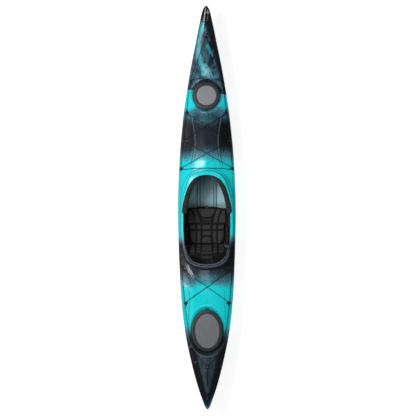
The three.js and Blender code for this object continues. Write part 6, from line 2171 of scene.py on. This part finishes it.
# ---------------------------------------------------------------- CAD nodes that stay, with better finishes
def make_alloy(name):
    m = Nodes(name)
    P = m.coords()
    brush = m.noise(m.scaled(P, (900, 12, 900)), 1.0, 3.0, 0.6)
    n = m.noise(P, 40.0, 3.0, 0.6)
    col = m.mix(brush, (0.42, 0.43, 0.45), (0.62, 0.63, 0.65))
    col = m.mix(m.map(n, 0.5, 0.8, 0.0, 0.3), col, (0.36, 0.37, 0.39))
    return m.finish(col, m.map(brush, 0.2, 0.8, 0.26, 0.44, "LINEAR"), m.bump(brush, 0.15, 0.0003), Metallic=1.0)


def make_foam(name):
    m = Nodes(name)
    P = m.coords()
    cell = m.voronoi(P, 420.0)
    n = m.noise(P, 30.0, 3.0, 0.6)
    col = m.mix(n, (0.030, 0.031, 0.033), (0.052, 0.053, 0.056))
    col = m.mix(m.map(cell, 0.0, 0.35, 0.5, 0.0), col, (0.014, 0.014, 0.015))
    return m.finish(col, 0.85, m.bump(cell, 0.5, 0.0008), Specular_IOR_Level=0.15)


foam, alloy = make_foam("bulkhead_foam"), make_alloy("rail_alloy")


def finish_node(name, mat, width=0.0):
    ob = frame["nodes"][name]
    if not ob.material_slots:
        ob.data.materials.append(mat)
    for sl in ob.material_slots:
        sl.material = mat
    if width:
        bv = ob.modifiers.new("edges", "BEVEL")
        bv.width = width
        bv.segments = 2
        bv.limit_method = "ANGLE"
        bv.angle_limit = math.radians(35)
        bv.harden_normals = True


for label in ("bow", "stern"):
    finish_node(f"{label}_bulkhead", foam)
for label in ("starboard", "port"):
    finish_node(f"{label}_foot_rail", alloy, 0.0006)
    finish_node(f"{label}_foot_pedal", hard, 0.0012)
    finish_node(f"{label}_thigh_brace", hard, 0.0008)

# ---------------------------------------------------------------- floor and light
bm = bmesh.new()
bmesh.ops.create_grid(bm, x_segments=8, y_segments=8, size=40)
floor_mesh = bpy.data.meshes.new("floor")
bm.to_mesh(floor_mesh)
bm.free()
floor = bpy.data.objects.new("floor", floor_mesh)
scene.collection.objects.link(floor)
floor.location = (0, 0, -0.0005)
m = Nodes("floor_pale")
grain = m.noise(m.coords(), 3.0, 2.0)
floor_mesh.materials.append(m.finish(m.mix(grain, (0.30, 0.30, 0.30), (0.32, 0.32, 0.32)), 0.9, None, Specular_IOR_Level=0.0,
                                     Emission_Color=(1, 1, 1, 1), Emission_Strength=0.84))

world = bpy.data.worlds.new("world")
scene.world = world
world.use_nodes = True
world.node_tree.nodes["Background"].inputs[0].default_value = (0.97, 0.985, 1.0, 1)
world.node_tree.nodes["Background"].inputs[1].default_value = 0.36


def area(name, loc, target, size, power, color=(1, 1, 1), gloss=True, diffuse=True):
    d = bpy.data.lights.new(name, "AREA")
    d.shape = "RECTANGLE"
    d.size, d.size_y = size
    d.energy = power
    d.color = color
    o = bpy.data.objects.new(name, d)
    scene.collection.objects.link(o)
    o.location = loc
    o.rotation_mode = "QUATERNION"
    o.rotation_quaternion = (Vector(target) - Vector(loc)).to_track_quat("-Z", "Y")
    o.visible_camera = False
    o.visible_glossy = gloss
    o.visible_diffuse = diffuse
    return o


def panel(name, loc, target, size, power):
    """A level glossy-only panel: size along x and y."""
    o = area(name, loc, (loc[0], loc[1], loc[2] - 1), size, power, diffuse=False)
    o.rotation_quaternion = (1, 0, 0, 0)
    return o


area("key", (-3.6, 1.6, 6.2), (0, 0, 0.2), (3.0, 1.8), 400, gloss=False)
area("fill", (4.0, -1.5, 6.5), (0, 0, 0.2), (4.0, 4.0), 50, gloss=False)
# a weak long strip to port, then small panels close by, each for one streak of gloss
area("strip", (-3.4, 0.3, 1.75), (0, 0.2, 0.25), (4.6, 0.22), 10, diffuse=False)
panel("gloss_fore", (-0.95, 0.34, 1.74), (-0.09, 0.46, 0.34), (1.1, 0.34), 76)
panel("gloss_aft", (-1.95, -1.10, 1.66), (-0.15, -0.69, 0.27), (1.40, 0.30), 78)
panel("gloss_lip", (-0.66, -0.36, 1.70), (-0.262, -0.3, 0.30), (0.16, 0.5), 8)
panel("gloss_rear_lip", (-0.08, -0.76, 1.71), (-0.04, -0.62, 0.31), (0.5, 0.16), 4)
panel("gloss_bow", (-2.30, 2.66, 1.74), (-0.012, 1.99, 0.335), (1.8, 0.56), 190)
